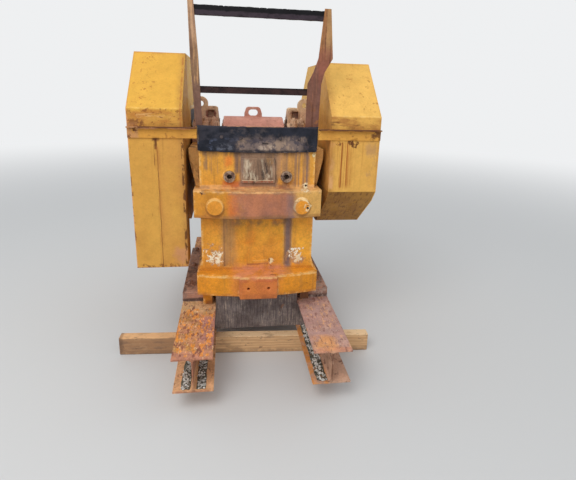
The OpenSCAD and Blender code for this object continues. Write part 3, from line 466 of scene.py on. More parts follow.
guardStainsAndLight = (
    stainAndLight((232, 178, 90), 0.75, x=rightGuard, early=True),
    stainAndLight((224, 172, 72), 0.85, x=(-0.7465, -0.3), y=(-0.46, -0.1), z=(1.24, 1.7), soft=0.004, wobble=0, early=True),
    stainAndLight((238, 188, 98), 0.85, x=rightFront, y=(-0.46, -0.1), z=(1.235, 1.7), soft=0.004, wobble=0, early=True),
    # inner panels: brown towards the feed side, partly as painted shade; pale further back, brightened as painted
    # light against the shade they lie in
    stainAndLight((146, 102, 66), 0.95, x=leftInner, y=(-0.6, 0.03), z=(0.2, 1.7), soft=0.05, wobble=0.03),
    stainAndLight((236, 206, 122), x=leftInner, y=(-0.04, 0.62), z=(1.245, 1.7), soft=0.03, wobble=0.01),
    stainAndLight((226, 206, 168), 0.7, x=leftInner, y=(0.1, 0.6), z=(1.243, 1.262), soft=0.003, wobble=0.004),
    # dark opening and hole of the left inner panel, painted in as shade
    stainAndLight((52, 32, 28), x=leftInner, y=(0.16, 0.6), z=(1.137, 1.236), soft=0.004, wobble=0.006),
    stainAndLight((40, 26, 22), x=leftInner, y=(0.395, 0.44), z=(1.262, 1.282), soft=0.004, wobble=0.003),
    stainAndLight((176, 118, 64), 0.92, x=rightInner, y=(-0.6, 0.17), z=(0.2, 1.7), soft=0.05, wobble=0.03),
    stainAndLight((236, 196, 118), 0.9, x=rightInner, y=(0.15, 0.66), z=(1.2, 1.7), soft=0.03, wobble=0.01),
    stainAndLight((110, 74, 50), 0.8, (6, 0.38, 0.6), x=rightInner, y=(-0.6, 0.17), z=(0.2, 1.2), soft=0.05),
    # folds: a painted highlight line above, chips and scratches below
    stainAndLight((244, 204, 120), 0.4, (20, 0.4, 0.58), x=leftGuard, y=(-0.46, -0.38), z=(1.256, 1.266), soft=0.003,
          wobble=0.002),
    stainAndLight((244, 206, 130), 0.4, (20, 0.4, 0.58), x=rightGuard, y=(-0.46, -0.38), z=(1.232, 1.242), soft=0.003,
          wobble=0.002),
    stainAndLight((184, 118, 58), 0.75, (9, 0.38, 0.6, (1, 1, 2.2)), x=leftGuard, y=face, z=(1.16, 1.256)),
    stainAndLight((140, 84, 44), 0.8, (44, 0.54, 0.6, (1, 1, 1.4)), x=leftGuard, y=(-0.46, -0.38), z=(1.235, 1.262),
          soft=0.006),
    stainAndLight((232, 186, 124), 0.6, (1, 0.54, 0.6, (9, 9, 120)), x=(-0.7, -0.5), y=face, z=(1.205, 1.235), soft=0.006),
    stainAndLight((120, 70, 42), 0.85, (44, 0.57, 0.63, (1, 1, 1.8)), x=leftGuard, y=face, z=(1.165, 1.235)),
    stainAndLight((130, 82, 50), 0.8, (30, 0.46, 0.54), x=(-0.76, -0.66), y=face, z=(1.15, 1.2), soft=0.01),
    stainAndLight((176, 116, 62), 0.75, (8, 0.4, 0.6, (1, 1, 2.2)), x=rightGuard, y=face, z=(1.14, 1.236)),
    stainAndLight((104, 62, 42), 0.8, (1, 0.44, 0.58, (8, 8, 40)), x=(0.44, 0.62), y=face, z=(1.185, 1.205), soft=0.008),
    stainAndLight((110, 66, 42), 0.8, (38, 0.6, 0.66, (1, 1, 1.8)), x=rightGuard, y=face, z=(1.15, 1.225)),
    # specks on the hoods
    stainAndLight((172, 110, 52), 0.8, (60, 0.575, 0.63, (1, 1, 0.6)), x=(-0.7, -0.6), z=(1.262, 1.6), soft=0.03),
    stainAndLight((184, 124, 60), 0.7, (34, 0.64, 0.69, (1, 1, 0.5)), z=(1.262, 1.6)),
    stainAndLight((156, 96, 50), 0.7, (44, 0.59, 0.65), x=(0.44, 0.58), z=(1.28, 1.42), soft=0.03),
    stainAndLight((190, 118, 58), 0.6, (40, 0.56, 0.62), x=(0.54, 0.62), z=(1.4, 1.5), soft=0.02),
    stainAndLight((160, 104, 54), 0.7, (22, 0.56, 0.62, (1, 1, 0.45)), x=(0.64, 0.74), z=(1.27, 1.6), soft=0.02),
    # drips and the seam of the left front
    stainAndLight((120, 72, 42), 0.85, (1, 0.55, 0.6, (60, 3, 1.5)), x=(-0.64, -0.56), y=face, z=(0.93, 1.098), soft=0.014),
    stainAndLight((96, 54, 36), 0.9, x=(-0.604, -0.59), y=face, z=(1.03, 1.098), soft=0.005),
    stainAndLight((92, 52, 36), 0.9, x=(-0.616, -0.576), y=face, z=(1.08, 1.098), soft=0.006),
    stainAndLight((104, 62, 38), 0.9, x=(-0.5935, -0.5895), y=face, z=(0.28, 1.098), soft=0.0018, wobble=0.005),
    stainAndLight((176, 112, 56), 0.5, (1, 0.4, 0.6, (40, 3, 5)), x=(-0.604, -0.578), y=face, z=(0.28, 1.05), soft=0.008),
    stainAndLight((170, 112, 56), 0.55, (40, 0.64, 0.69, (1, 1, 0.45)), x=(-0.76, -0.44), y=face, z=(0.28, 1.09)),
    # left edge of the left front: pinkish, paler as a painted highlight
    stainAndLight((230, 166, 112), 0.7, (12, 0.3, 0.55, (1, 1, 0.5)), x=(-0.76, -0.746), y=face, z=(0.28, 1.3), soft=0.003),
    stainAndLight((196, 136, 72), 0.55, (3, 0.3, 0.6, (1, 1, 0.4)), x=(-0.59, -0.44), y=face, z=(0.28, 1.09), soft=0.004),
    stainAndLight((198, 140, 104), 0.7, (12, 0.36, 0.58), x=(-0.52, -0.44), y=face, z=(0.28, 0.42), soft=0.02, wobble=0.04),
    stainAndLight((176, 118, 84), 0.8, x=(-0.76, -0.44), y=face, z=(0.28, 0.292), soft=0.004),
    stainAndLight((128, 74, 44), 0.8, (26, 0.52, 0.6, (1, 1, 0.6)), x=(-0.76, -0.744), y=face, z=(0.28, 1.56), soft=0.003),
    stainAndLight((96, 58, 36), 0.9, (30, 0.46, 0.54, (1, 1, 0.6)), x=(-0.455, -0.43), y=(-0.46, -0.42), z=(0.28, 1.09),
          soft=0.004, wobble=0.004),
    stainAndLight((176, 110, 58), 0.7, (24, 0.42, 0.56, (1, 1, 0.6)), x=(-0.458, -0.4475), z=(1.1, 1.56), soft=0.001,
          wobble=0.001),
    stainAndLight((120, 74, 44), 0.8, (34, 0.5, 0.58), x=(-0.76, -0.44), y=face, z=(0.28, 0.315), soft=0.008),
    # runs of the right front, and its lower fold, browner as dirt and as painted shade
    stainAndLight((124, 66, 36), 0.85, x=(0.512, 0.52), y=face, z=(0.8, 1.083), soft=0.003, wobble=0.003),
    stainAndLight((170, 96, 44), 0.85, (1, 0.45, 0.58, (56, 3, 0.7)), x=(0.475, 0.575), y=face, z=(0.8, 1.083), soft=0.02),
    stainAndLight((186, 122, 62), 0.5, (1, 0.52, 0.66, (30, 3, 1.2)), x=(0.44, 0.76), y=face, z=(0.79, 1.083)),
    stainAndLight((116, 66, 42), 0.85, (40, 0.4, 0.54), y=face, spot=(0.497, 1.076, 0.02)),
    stainAndLight((88, 48, 34), 0.9, (40, 0.36, 0.5), y=face, spot=(0.59, 1.08, 0.026)),
    stainAndLight((100, 56, 38), 0.85, (40, 0.4, 0.54), y=face, spot=(0.56, 1.084, 0.016)),
    stainAndLight((170, 128, 100), 0.5, (12, 0.46, 0.62, (1, 1, 0.6)), x=(0.66, 0.75), y=face, z=(0.8, 1.083), soft=0.02),
    stainAndLight((226, 170, 118), 0.7, (14, 0.35, 0.58, (1, 1, 0.5)), x=(0.44, 0.468), y=face, z=(0.79, 1.08), soft=0.01),
    # lower fold: dirt, and painted shade on the face that turns down
    stainAndLight((172, 126, 64), 0.85, x=rightFront, y=(-0.46, -0), z=(0.4, 0.772), soft=0.001, wobble=0.001),
    stainAndLight((140, 96, 56), 0.6, (5, 0.4, 0.64), x=rightFront, y=(-0.46, -0), z=(0.4, 0.77), soft=0.001, wobble=0.001),
    stainAndLight((112, 76, 50), 0.6, (1, 0.53, 0.61, (60, 9, 22)), x=rightFront, y=(-0.46, -0), z=(0.4, 0.77), soft=0.001,
          wobble=0.001),
    # brackets: dark rusty upper edge, rusty left ends
    stainAndLight((96, 60, 46), 0.95, y=bracketFace, z=(1.15, 1.18), soft=0.002, wobble=0.003),
    stainAndLight((214, 150, 64), 0.6, y=bracketFace, z=(1.09, 1.152), soft=0.003),
    stainAndLight((196, 142, 96), 0.85, (30, 0.3, 0.5), x=(-0.77, -0.69), y=bracketFace, z=(1.09, 1.18)),
    stainAndLight((216, 160, 118), 0.7, (16, 0.4, 0.54), x=(-0.7, -0.4), y=bracketFace, z=(1.145, 1.153), soft=0.002),
    stainAndLight((108, 62, 40), 0.9, (34, 0.5, 0.56), x=(-0.77, -0.69), y=bracketFace, z=(1.09, 1.152)),
    stainAndLight((96, 56, 40), 0.85, (20, 0.44, 0.54), x=(0.69, 0.77), y=bracketFace, z=(1.09, 1.152)),
    stainAndLight((150, 92, 50), 0.7, (26, 0.58, 0.64, (1, 1, 1.4)), y=bracketFace, z=(1.09, 1.152)),
)

leftPost, rightPost = (-0.6, 0), (0, 0.6)

postStainsAndLight = (
    # the posts grow lighter upwards: painted light on the upper parts that stand in the open above the hoods, darker
    # lower down
    stainAndLight((192, 154, 120), 0.85, (1, 0.24, 0.54, (40, 12, 2)), x=leftPost, z=(1.62, 2), soft=0.06),
    stainAndLight((148, 116, 86), 0.85, (1, 0.24, 0.54, (40, 12, 2)), x=leftPost, z=(1.36, 1.62), soft=0.06),
    stainAndLight((122, 90, 76), 0.85, (1, 0.24, 0.56, (40, 12, 2)), x=leftPost, z=(1.1, 1.42), soft=0.06),
    stainAndLight((96, 70, 58), 0.6, (1, 0.52, 0.62, (60, 12, 3)), x=leftPost, z=(1.1, 2)),
    stainAndLight((216, 164, 112), 0.6, (1, 0.54, 0.62, (70, 12, 3.5)), x=leftPost, z=(1.4, 2)),
    stainAndLight((176, 122, 74), 0.9, (1, 0.26, 0.54, (44, 12, 1.6)), x=rightPost, z=(1.56, 2), soft=0.06),
    stainAndLight((178, 138, 94), 0.7, x=(0.392, 0.6), z=(1.56, 2), soft=0.004, wobble=0.006),
    stainAndLight((84, 56, 44), 0.8, (8, 0.34, 0.5), x=(0.386, 0.392), z=(1.6, 2), soft=0.003, wobble=0.004),
    stainAndLight((146, 90, 72), 0.85, (1, 0.34, 0.56, (30, 12, 3)), x=rightPost, z=(1.42, 1.62), soft=0.05),
    stainAndLight((122, 82, 66), 0.85, (1, 0.28, 0.6, (40, 12, 1.6)), x=rightPost, z=(1.1, 1.46), soft=0.06),
    stainAndLight((88, 54, 40), 0.6, (1, 0.54, 0.62, (60, 12, 2.5)), x=rightPost, z=(1.1, 1.84)),
    stainAndLight((180, 120, 92), 0.5, (1, 0.56, 0.64, (60, 12, 2.5)), x=rightPost, z=(1.1, 1.6)),
)

barStains = (
    stainAndLight((24, 16, 16), z=(1.384, 1.4), soft=0.002, wobble=0.002),
    stainAndLight((70, 48, 45), 0.6, (14, 0.34, 0.58), z=(1.35, 1.384)),
)

capStainsAndLight = (
    stainAndLight((112, 80, 64), 0.7, (14, 0.3, 0.56), z=(1, 1.1), soft=0.03),
    stainAndLight((104, 44, 40), 0.95, x=(0.265, 0.335), y=(0.1, 0.15), z=(1.185, 1.25), soft=0.005),
    stainAndLight((98, 46, 42), 0.95, x=(-0.335, -0.265), y=(0.1, 0.15), z=(1.185, 1.25), soft=0.005),
    # cream upper parts: paler paint, lightened further as a painted highlight
    stainAndLight((232, 202, 162), 0.6, (10, 0.34, 0.54), z=(1.235, 1.4)),
    stainAndLight((236, 200, 154), 0.3, (16, 0.4, 0.54), x=(0.24, 0.45), z=(1.1, 1.4)),
    stainAndLight((190, 144, 118), 0.5, (12, 0.34, 0.56), x=(-0.45, -0.24), z=(1, 1.27)),
    stainAndLight((104, 68, 56), 0.7, (14, 0.55, 0.63), z=(1, 1.4)),
)

railTop, railEnd = (0.058, 0.08), (-0.35, -0.33)

railStains = (
    stainAndLight((196, 148, 124), 0.85, (9, 0.22, 0.52), z=railTop, soft=0.003),
    stainAndLight((112, 84, 72), 0.75, (16, 0.5, 0.58), z=railTop),
    stainAndLight((126, 102, 92), 0.6, y=railEnd, z=(-0.01, 0.058), soft=0.004),
    stainAndLight((198, 146, 122), 0.75, (14, 0.34, 0.54), y=railEnd, z=(0.018, 0.058), soft=0.01),
    stainAndLight((70, 54, 50), 0.75, (20, 0.34, 0.54), y=railEnd, z=(-0.01, 0.022), soft=0.008),
    stainAndLight((188, 164, 150), 0.85, (20, 0.44, 0.56), x=(0.2, 0.6), y=(-0.35, -0.2), z=(0, 0.08)),
    stainAndLight((104, 92, 84), 0.7, (14, 0.3, 0.52), y=(-0.1, 1), z=railTop, soft=0.05),
    stainAndLight((196, 188, 176), 0.8, (60, 0.6, 0.65), y=(-0.3, 1), z=railTop),
)

topFlange, lowFlange, outerHalf = (-0.02, 0.02), (-0.25, -0.15), (0.366, 0.5)

leftBeamStains = (
    stainAndLight((222, 180, 132), 0.85, (10, 0.2, 0.46), y=(-0.5, -0.3), z=topFlange, soft=0.03),
    stainAndLight((166, 116, 112), 0.85, (8, 0.3, 0.5), x=(-0.36, -0.26), y=(-0.92, -0.56), z=topFlange, soft=0.025,
          wobble=0.04),
    stainAndLight((192, 134, 112), 0.85, (12, 0.28, 0.5), y=(-1.01, -0.93), z=topFlange, soft=0.02),
    stainAndLight((236, 150, 62), 0.8, (26, 0.5, 0.57, (1.5, 0.5, 1)), x=(-0.5, -0.28), y=(-0.98, -0.45), z=topFlange),
    stainAndLight((128, 78, 66), 0.8, (34, 0.54, 0.6, (1.5, 0.5, 1)), z=topFlange),
    stainAndLight((240, 204, 160), 0.7, (44, 0.58, 0.63, (1.5, 0.5, 1)), z=topFlange),
    stainAndLight((172, 122, 96), 0.85, (6, 0.14, 0.44), z=(-0.19, -0.02), soft=0.004),
    stainAndLight((226, 174, 128), 0.85, (16, 0.26, 0.48), z=lowFlange),
    stainAndLight((128, 90, 72), 0.7, (24, 0.55, 0.63), z=lowFlange),
    stainAndLight((176, 116, 92), 0.7, (24, 0.36, 0.54), y=(-1.01, -0.996), soft=0.002),
)

rightBeamStains = (
    stainAndLight((178, 140, 134), 0.75, (7, 0.3, 0.56), z=topFlange),
    stainAndLight((228, 160, 92), 0.85, (14, 0.34, 0.54), x=(0.29, 0.42), y=(-1, -0.84), z=topFlange, soft=0.03, wobble=0.03),
    stainAndLight((206, 140, 108), 0.7, (16, 0.34, 0.54), y=(-1.01, -0.965), z=topFlange, soft=0.01),
    stainAndLight((132, 90, 80), 0.7, (30, 0.53, 0.6, (1.5, 0.5, 1)), z=topFlange),
    stainAndLight((226, 172, 124), 0.6, (34, 0.56, 0.62, (1.5, 0.5, 1)), z=topFlange),
    stainAndLight((238, 214, 190), 0.6, (60, 0.62, 0.66, (1.5, 0.6, 1)), z=topFlange),
    stainAndLight((198, 158, 132), 0.85, (10, 0.24, 0.48), x=outerHalf, z=(-0.25, -0.015)),
    stainAndLight((122, 88, 74), 0.8, (26, 0.54, 0.6), x=outerHalf, z=(-0.25, -0.015)),
    stainAndLight((206, 136, 64), 0.8, (14, 0.34, 0.56), x=(0.24, 0.366), z=(-0.25, -0.06)),
    stainAndLight((112, 76, 56), 0.85, (16, 0.3, 0.5), x=(0.35, 0.39), y=(-1.01, -0.99), z=(-0.2, -0.015), soft=0.003),
)

print("Mixing the finishes")
finishLooks = {
    "frontPaint": dict(
        colour=(242, 172, 60), drift=(228, 152, 56), driftScale=4.0, grime=0.35, streak=0.35, cornerGrimeAndShade=0.75,
        cornerGrimeAndShadeColour=(112, 74, 50), rustFrom=0.66, bump=0.7, mottle=0.16, edge=0.9, edgeReach=0.018,
        edgeWearAndHighlightColour=(240, 196, 128), stainsAndLight=frontStainsAndLight),
    "castPaint": dict(
        colour=(206, 148, 66), drift=(176, 124, 74), rustFrom=0.58, streak=0.7, grime=0.6, cornerGrimeAndShade=0.6, bump=0.6,
        stainsAndLight=(
            # paler front part of the side walls: painted light, making up for the shade the guards cast there
            stainAndLight((240, 190, 118), 0.75, (6, 0.26, 0.52, (1, 1, 0.6)), y=(-0.45, -0.16), soft=0.03),
            stainAndLight((136, 92, 54), 0.7, (14, 0.52, 0.6, (1, 1, 0.5)), y=(-0.45, -0.16), soft=0.03))),
    "guardPaint": dict(
        colour=(218, 164, 78), drift=(209, 153, 72), driftScale=2.2, dirt=(178, 122, 62), grime=0.22,
        streak=0.35, streakFine=14, streakFrom=0.56, rust=(160, 100, 50), rustFrom=0.74, rustScale=12.0,
        rustDark=(112, 68, 40), edge=0.0, mottle=0.07, bump=0.35, bumpDepth=0.004, pitScale=60.0, lump=1.2,
        lumpScale=3.5, rough=(0.5, 0.8), shine=0.08, stainsAndLight=guardStainsAndLight),
    "leftBeam": dict(
        colour=(216, 158, 108), drift=(192, 132, 98), driftScale=9.0, dirt=(146, 98, 74), grime=0.7, streak=0.0,
        rust=(228, 168, 84), rustDark=(140, 98, 78), rustScale=22.0, rustFrom=0.50, edge=0.4, mottle=0.2,
        mottleScale=60.0, edgeWearAndHighlightColour=(140, 108, 92), rough=(0.8, 0.95), bump=0.9, bumpDepth=0.008, pitScale=80.0,
        stainsAndLight=leftBeamStains),
    "rightBeam": dict(
        colour=(196, 162, 144), drift=(208, 158, 124), driftScale=6.0, dirt=(134, 104, 94), grime=0.6, streak=0.0,
        rust=(208, 140, 92), rustDark=(136, 108, 100), rustScale=12.0, rustFrom=0.55, edge=0.4, mottle=0.16,
        edgeWearAndHighlightColour=(130, 102, 92), rough=(0.75, 0.95), bump=0.8, bumpDepth=0.006, pitScale=90.0,
        stainsAndLight=rightBeamStains),
    "plateSteel": dict(
        colour=(150, 138, 132), drift=(160, 144, 136), driftScale=5.0, dirt=(100, 92, 92), grime=0.5,
        streak=0.85, streakFine=120, streakFrom=0.43, rust=(156, 116, 94), rustDark=(104, 82, 74), rustFrom=0.58,
        edge=0.0, rough=(0.6, 0.9), bump=0.4, bumpDepth=0.003, mottle=0.2, stainsAndLight=(
            stainAndLight((206, 188, 166), 0.7, (1, 0.57, 0.64, (150, 150, 16))),
            stainAndLight((80, 68, 68), 0.6, (5, 0.46, 0.62)))),
    "rustySteel": dict(
        colour=(168, 138, 124), drift=(152, 122, 110), driftScale=9.0, dirt=(114, 92, 84), grime=0.7, streak=0.3,
        rust=(176, 118, 78), rustDark=(104, 78, 70), rustScale=14.0, rustFrom=0.52, edge=0.4, mottle=0.2,
        edgeWearAndHighlightColour=(160, 124, 106), rough=(0.75, 0.95), bump=0.8, bumpDepth=0.006, stainsAndLight=railStains),
    "postSteel": dict(
        colour=(126, 88, 76), drift=(110, 76, 68), driftScale=7.0, dirt=(88, 62, 56), grime=0.5,
        streak=0.6, streakFine=24, streakFrom=0.50, rust=(172, 112, 64), rustDark=(130, 84, 58), rustScale=8.0,
        rustFrom=0.60, edge=0.0, mottle=0.18, rough=(0.7, 0.92), bump=0.6, bumpDepth=0.004, stainsAndLight=postStainsAndLight),
    "barSteel": dict(
        colour=(52, 36, 34), drift=(38, 28, 28), driftScale=9.0, dirt=(30, 22, 24), grime=0.5, streak=0.0,
        rust=(82, 54, 46), rustDark=(50, 36, 34), rustScale=14.0, rustFrom=0.60, edge=0.0, rough=(0.7, 0.9),
        stainsAndLight=barStains),
    "primer": dict(
        colour=(210, 150, 132), drift=(198, 136, 118), driftScale=4.0, dirt=(160, 108, 92), grime=0.5,
        streak=0.3, streakFine=20, rust=(150, 92, 70), rustDark=(120, 80, 66), rustFrom=0.66, edge=0.6,
        edgeWearAndHighlightColour=(230, 196, 178), rough=(0.5, 0.8), bump=0.4, bumpDepth=0.004),
    "capPaint": dict(
        colour=(222, 190, 158), drift=(200, 158, 130), driftScale=9.0, dirt=(156, 116, 94), grime=0.6,
        streak=0.4, streakFine=24, rust=(130, 78, 64), rustDark=(92, 56, 50), rustScale=11.0, rustFrom=0.60,
        cornerGrimeAndShade=0.75, cornerGrimeAndShadeColour=(84, 48, 42), edge=0.5, edgeWearAndHighlightColour=(240, 216, 186), rough=(0.6, 0.9), bump=0.35,
        bumpDepth=0.003, mottle=0.12, lump=0.2, stainsAndLight=capStainsAndLight),
    "darkSteel": dict(
        colour=(96, 78, 70), drift=(116, 90, 76), driftScale=14.0, dirt=(60, 48, 46), grime=0.6, streak=0.0,
        rust=(134, 88, 64), rustDark=(84, 58, 50), rustScale=22.0, rustFrom=0.55, edge=0.8,
        edgeWearAndHighlightColour=(184, 156, 132), rough=(0.45, 0.8), bump=0.5, bumpDepth=0.003, metal=0.3),
    "jawSteel": dict(
        colour=(128, 118, 110), drift=(112, 100, 92), driftScale=8.0, dirt=(92, 74, 62), grime=0.5, streak=0.5,
        rust=(140, 96, 66), rustDark=(104, 76, 62), rustScale=12.0, rustFrom=0.58, edge=0.6,
        edgeWearAndHighlightColour=(176, 170, 162), rough=(0.4, 0.8), bump=0.6, bumpDepth=0.004, metal=0.5),
    "wheelIron": dict(
        colour=(104, 92, 84), drift=(120, 102, 88), driftScale=5.0, dirt=(80, 62, 54), grime=0.5, streak=0.2,
        rust=(136, 88, 60), rustDark=(98, 70, 58), rustScale=9.0, rustFrom=0.57, edge=0.5,
        edgeWearAndHighlightColour=(156, 146, 136), rough=(0.5, 0.85), bump=0.4, bumpDepth=0.004, metal=0.3),
    "darkBolt": dict(
        colour=(70, 60, 62), drift=(56, 48, 50), driftScale=30.0, dirt=(46, 38, 38), streak=0.0, rust=(100, 68, 56),
        rustScale=40.0, rustFrom=0.60, edge=0.4, edgeReach=0.003, edgeWearAndHighlightColour=(110, 100, 98), bump=0.3,
        bumpDepth=0.002),
    "holeShade": dict(
        colour=(44, 30, 28), drift=(34, 24, 24), dirt=(30, 22, 22), streak=0.0, rustFrom=0.8, edge=0.0, mottle=0.1),
    "grit": dict(
        colour=(232, 228, 220), drift=(176, 172, 164), driftScale=60.0, dirt=(120, 112, 100), grime=0.5, streak=0.0,
        rust=(196, 150, 104), rustDark=(130, 108, 90), rustScale=90.0, rustFrom=0.60, edge=0.0, mottle=0.25,
        rough=(0.85, 0.98)),
    "soil": dict(
        colour=(100, 98, 84), drift=(84, 80, 70), driftScale=20.0, dirt=(60, 56, 50), grime=0.6, streak=0.0,
        rust=(168, 112, 66), rustDark=(120, 84, 60), rustScale=14.0, rustFrom=0.58, edge=0.0, mottle=0.3,
        mottleScale=160.0, rough=(0.9, 0.98), bump=1.0, bumpDepth=0.006, stainsAndLight=(
            stainAndLight((206, 202, 190), 0.9, (90, 0.58, 0.63)),
            stainAndLight((44, 42, 36), 0.8, (60, 0.58, 0.64)))),
}
finishes = {name: weathered(name, {**plainLook, **changes}) for name, changes in finishLooks.items()}


def rubberBase(name, low, high, marks):
    mat, tree, place, shader = newMaterial(name)
    cloud = speckle(tree, place, 14.0, 0.34, 0.62, detail=8.0, rough=0.7)
    colour = applyStainsAndLight(tree, place, blendColour(tree, cloud, low, high), marks)
    tree.links.new(colour, shader.inputs["Base Color"])
    shader.inputs["Roughness"].default_value = 0.78
    shader.inputs["Specular IOR Level"].default_value = 0.25
    roughen(tree, shader, noiseAt(tree, place, 45.0, detail=8.0, rough=0.7), 0.5, 0.005)
    return mat


flapMarks = (
    stainAndLight((96, 104, 128), 0.6, (22, 0.54, 0.64, (1, 1, 1.5)), x=(-0.4, -0.1), z=(1, 1.09), soft=0.03),
    stainAndLight((62, 60, 68), 0.7, (12, 0.46, 0.62, (0.7, 1, 1.5)), x=(-0.4, -0.1), z=(1.04, 1.17), soft=0.03),
    stainAndLight((92, 82, 80), 0.55, (18, 0.46, 0.62, (1, 1, 1.5)), x=(-0.17, 0.05), z=(1.105, 1.16), soft=0.02),
    stainAndLight((128, 110, 102), 0.9, (15, 0.26, 0.5, (1, 1, 1.6)), x=(-0.115, 0.275), z=(0.99, 1.096), soft=0.03,
          wobble=0.05),
    stainAndLight((72, 66, 74), 0.85, (24, 0.49, 0.57, (1, 1, 1.3)), x=(-0.14, 0.3), z=(0.99, 1.098), soft=0.02),
    stainAndLight((168, 142, 120), 0.75, (22, 0.48, 0.58, (1, 1, 0.6)), x=(0.06, 0.28), z=(1, 1.09), soft=0.026, wobble=0.05),
    stainAndLight((190, 168, 148), 0.7, (34, 0.46, 0.54), x=(0, 0.1), z=(1.03, 1.06), soft=0.01, wobble=0.02),
    stainAndLight((24, 22, 26), 0.8, x=(0.02, 0.06), z=(1.062, 1.072), soft=0.004, wobble=0.01),
    stainAndLight((116, 118, 128), 0.5, (30, 0.46, 0.58), x=(-0.25, -0.15), z=(1.02, 1.06), soft=0.014),
    # pale strip on the curled lower right corner: painted highlight
    stainAndLight((206, 190, 170), 0.7, (40, 0.46, 0.54), x=(0.362, 0.375), z=(1.05, 1.09), soft=0.003),
    stainAndLight((170, 142, 118), 0.6, (20, 0.48, 0.62, (1, 1, 0.7)), x=(-0.13, -0.02), z=(1.03, 1.095), soft=0.02),
    stainAndLight((30, 28, 34), 0.85, (26, 0.28, 0.5, (1, 1, 2)), z=(0.99, 1.028), soft=0.008),
    stainAndLight((70, 64, 70), 0.6, (20, 0.38, 0.58), z=(1.16, 1.2), soft=0.004),
    stainAndLight((84, 70, 70), 0.7, (30, 0.44, 0.58), x=(0.3, 0.375), z=(0.99, 1.06), soft=0.014),
    stainAndLight((150, 130, 110), 0.8, (26, 0.44, 0.56), x=(-0.375, -0.355), soft=0.004),
)
stripMarks = (
    stainAndLight((66, 54, 62), 0.8, (16, 0.26, 0.52, (1, 1, 2)), z=(1.76, 1.795), soft=0.005),
    # pale specks on the upper edge: painted highlight
    stainAndLight((150, 144, 142), 0.5, (50, 0.6, 0.66), z=(1.818, 1.84), soft=0.003),
)


def timberFinish():
    mat, tree, place, shader = newMaterial("sawnPine")
    grain = addNode(tree, "Mapping", {"Vector": place, "Scale": (1.2, 26, 26), "Rotation": (0.03, 0.02, 0.06)})
    rings = addNode(tree, "TexWave", {"Vector": grain.outputs[0], "Scale": 0.55, "Distortion": 5.0, "Detail": 4.0,
                                      "Detail Scale": 1.4}, wave_type="BANDS", bands_direction="Z")
    fibre = speckle(tree, place, 1.0, 0.35, 0.7, detail=7.0, stretch=(5, 120, 120))
    colour = blendColour(tree, ramp(tree, rings.outputs[1], 0.2, 0.9), (222, 180, 132), (208, 162, 114))
    colour = blendColour(tree, calc(tree, "MULTIPLY", fibre, 0.4), colour, (166, 122, 84))
    drawn = addNode(tree, "Mapping", {"Vector": place, "Scale": (3.2, 9, 9)})
    knots = addNode(tree, "TexVoronoi", {"Vector": drawn.outputs[0], "Scale": 1.0})
    knot = ramp(tree, knots.outputs["Distance"], 0.16, 0.08)
    colour = blendColour(tree, calc(tree, "MULTIPLY", knot, 0.85), colour, (104, 70, 46))
    stainsAndLight = (
        stainAndLight((156, 114, 80), 0.85, (4, 0.22, 0.5), x=(-1, -0.52), z=(-0.34, -0.215)),
        stainAndLight((238, 184, 128), 0.8, x=(-1, -0.4), z=(-0.215, -0.19), soft=0.003),
        stainAndLight((240, 206, 160), 0.8, x=(-0.4, 1), z=(-0.215, -0.19), soft=0.003),
        stainAndLight((124, 98, 78), 0.6, (16, 0.5, 0.64, (0.4, 1, 1.4)), x=(-0.95, -0.6), z=(-0.34, -0.215), soft=0.06),
        stainAndLight((112, 82, 62), 0.7, (16, 0.34, 0.56), x=(-1, -0.885), soft=0.012),
        stainAndLight((132, 102, 78), 0.6, (14, 0.34, 0.56), z=(-0.34, -0.305), soft=0.012),
        stainAndLight((138, 104, 78), 0.6, (9, 0.54, 0.7, (0.6, 1, 1.4))),
        stainAndLight((108, 80, 62), 0.7, (40, 0.6, 0.66, (0.5, 1, 1))),
    )
    colour = applyStainsAndLight(tree, place, colour, stainsAndLight)
    tree.links.new(colour, shader.inputs["Base Color"])
    shader.inputs["Roughness"].default_value = 0.8
    height = calc(tree, "ADD", calc(tree, "MULTIPLY", rings.outputs[1], 0.5), calc(tree, "MULTIPLY", fibre, 0.5))
    roughen(tree, shader, height, 0.4, 0.003)
    return mat


finishes["rubber"] = rubberBase("rubber", (20, 23, 32), (40, 42, 52), flapMarks)
finishes["stripRubber"] = rubberBase("stripRubber", (9, 8, 12), (18, 16, 20), stripMarks)
finishes["sawnPine"] = timberFinish()

finishNodes = {
    "sawnPine": "timber_front timber_rear",
    "leftBeam": "beam_left",
    "rightBeam": "beam_right",
    "plateSteel": "cross_plate",
    "rustySteel": "foot_rail_left foot_rail_right toggle_plate tension_spring",
    "frontPaint": "front_wall",
    "castPaint": "side_wall_left side_wall_right rear_wall",
    "darkSteel": "jaw_washers bearing_left bearing_right eccentric_shaft toggle_seat toggle_block tension_rod",
    "jawSteel": "fixed_jaw cheek_left cheek_right swing_jaw",
    "capPaint": "bearing_cap_left bearing_cap_right",
    "wheelIron": "drive_wheel flywheel",
    "primer": "pitman",
    "rubber": "rubber_flap",
    "postSteel": "post_left post_right",
    "barSteel": "mid_bar",
    "stripRubber": "top_bar",
    "guardPaint": "guard_left guard_left_inner belt_drop guard_right guard_right_inner bracket_left bracket_right "
                  "bracket_rear_left bracket_rear_right",
}
nodeFinish = {node: finish for finish, nodes in finishNodes.items() for node in nodes.split()}
for nodeName, finish in nodeFinish.items():
    mesh = frame["nodes"][nodeName].data
    mesh.materials.clear()
    mesh.materials.append(finishes[finish])

# Pieces: copies of the CAD solids with worn edges, and details that are too fine for the CAD

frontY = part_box("rubber_flap")[1].y


def spot(x, y, z):
    # a point counted from the machine's middle plane and the top of the beams
    return Vector((midX + x, y, deckZ + z))


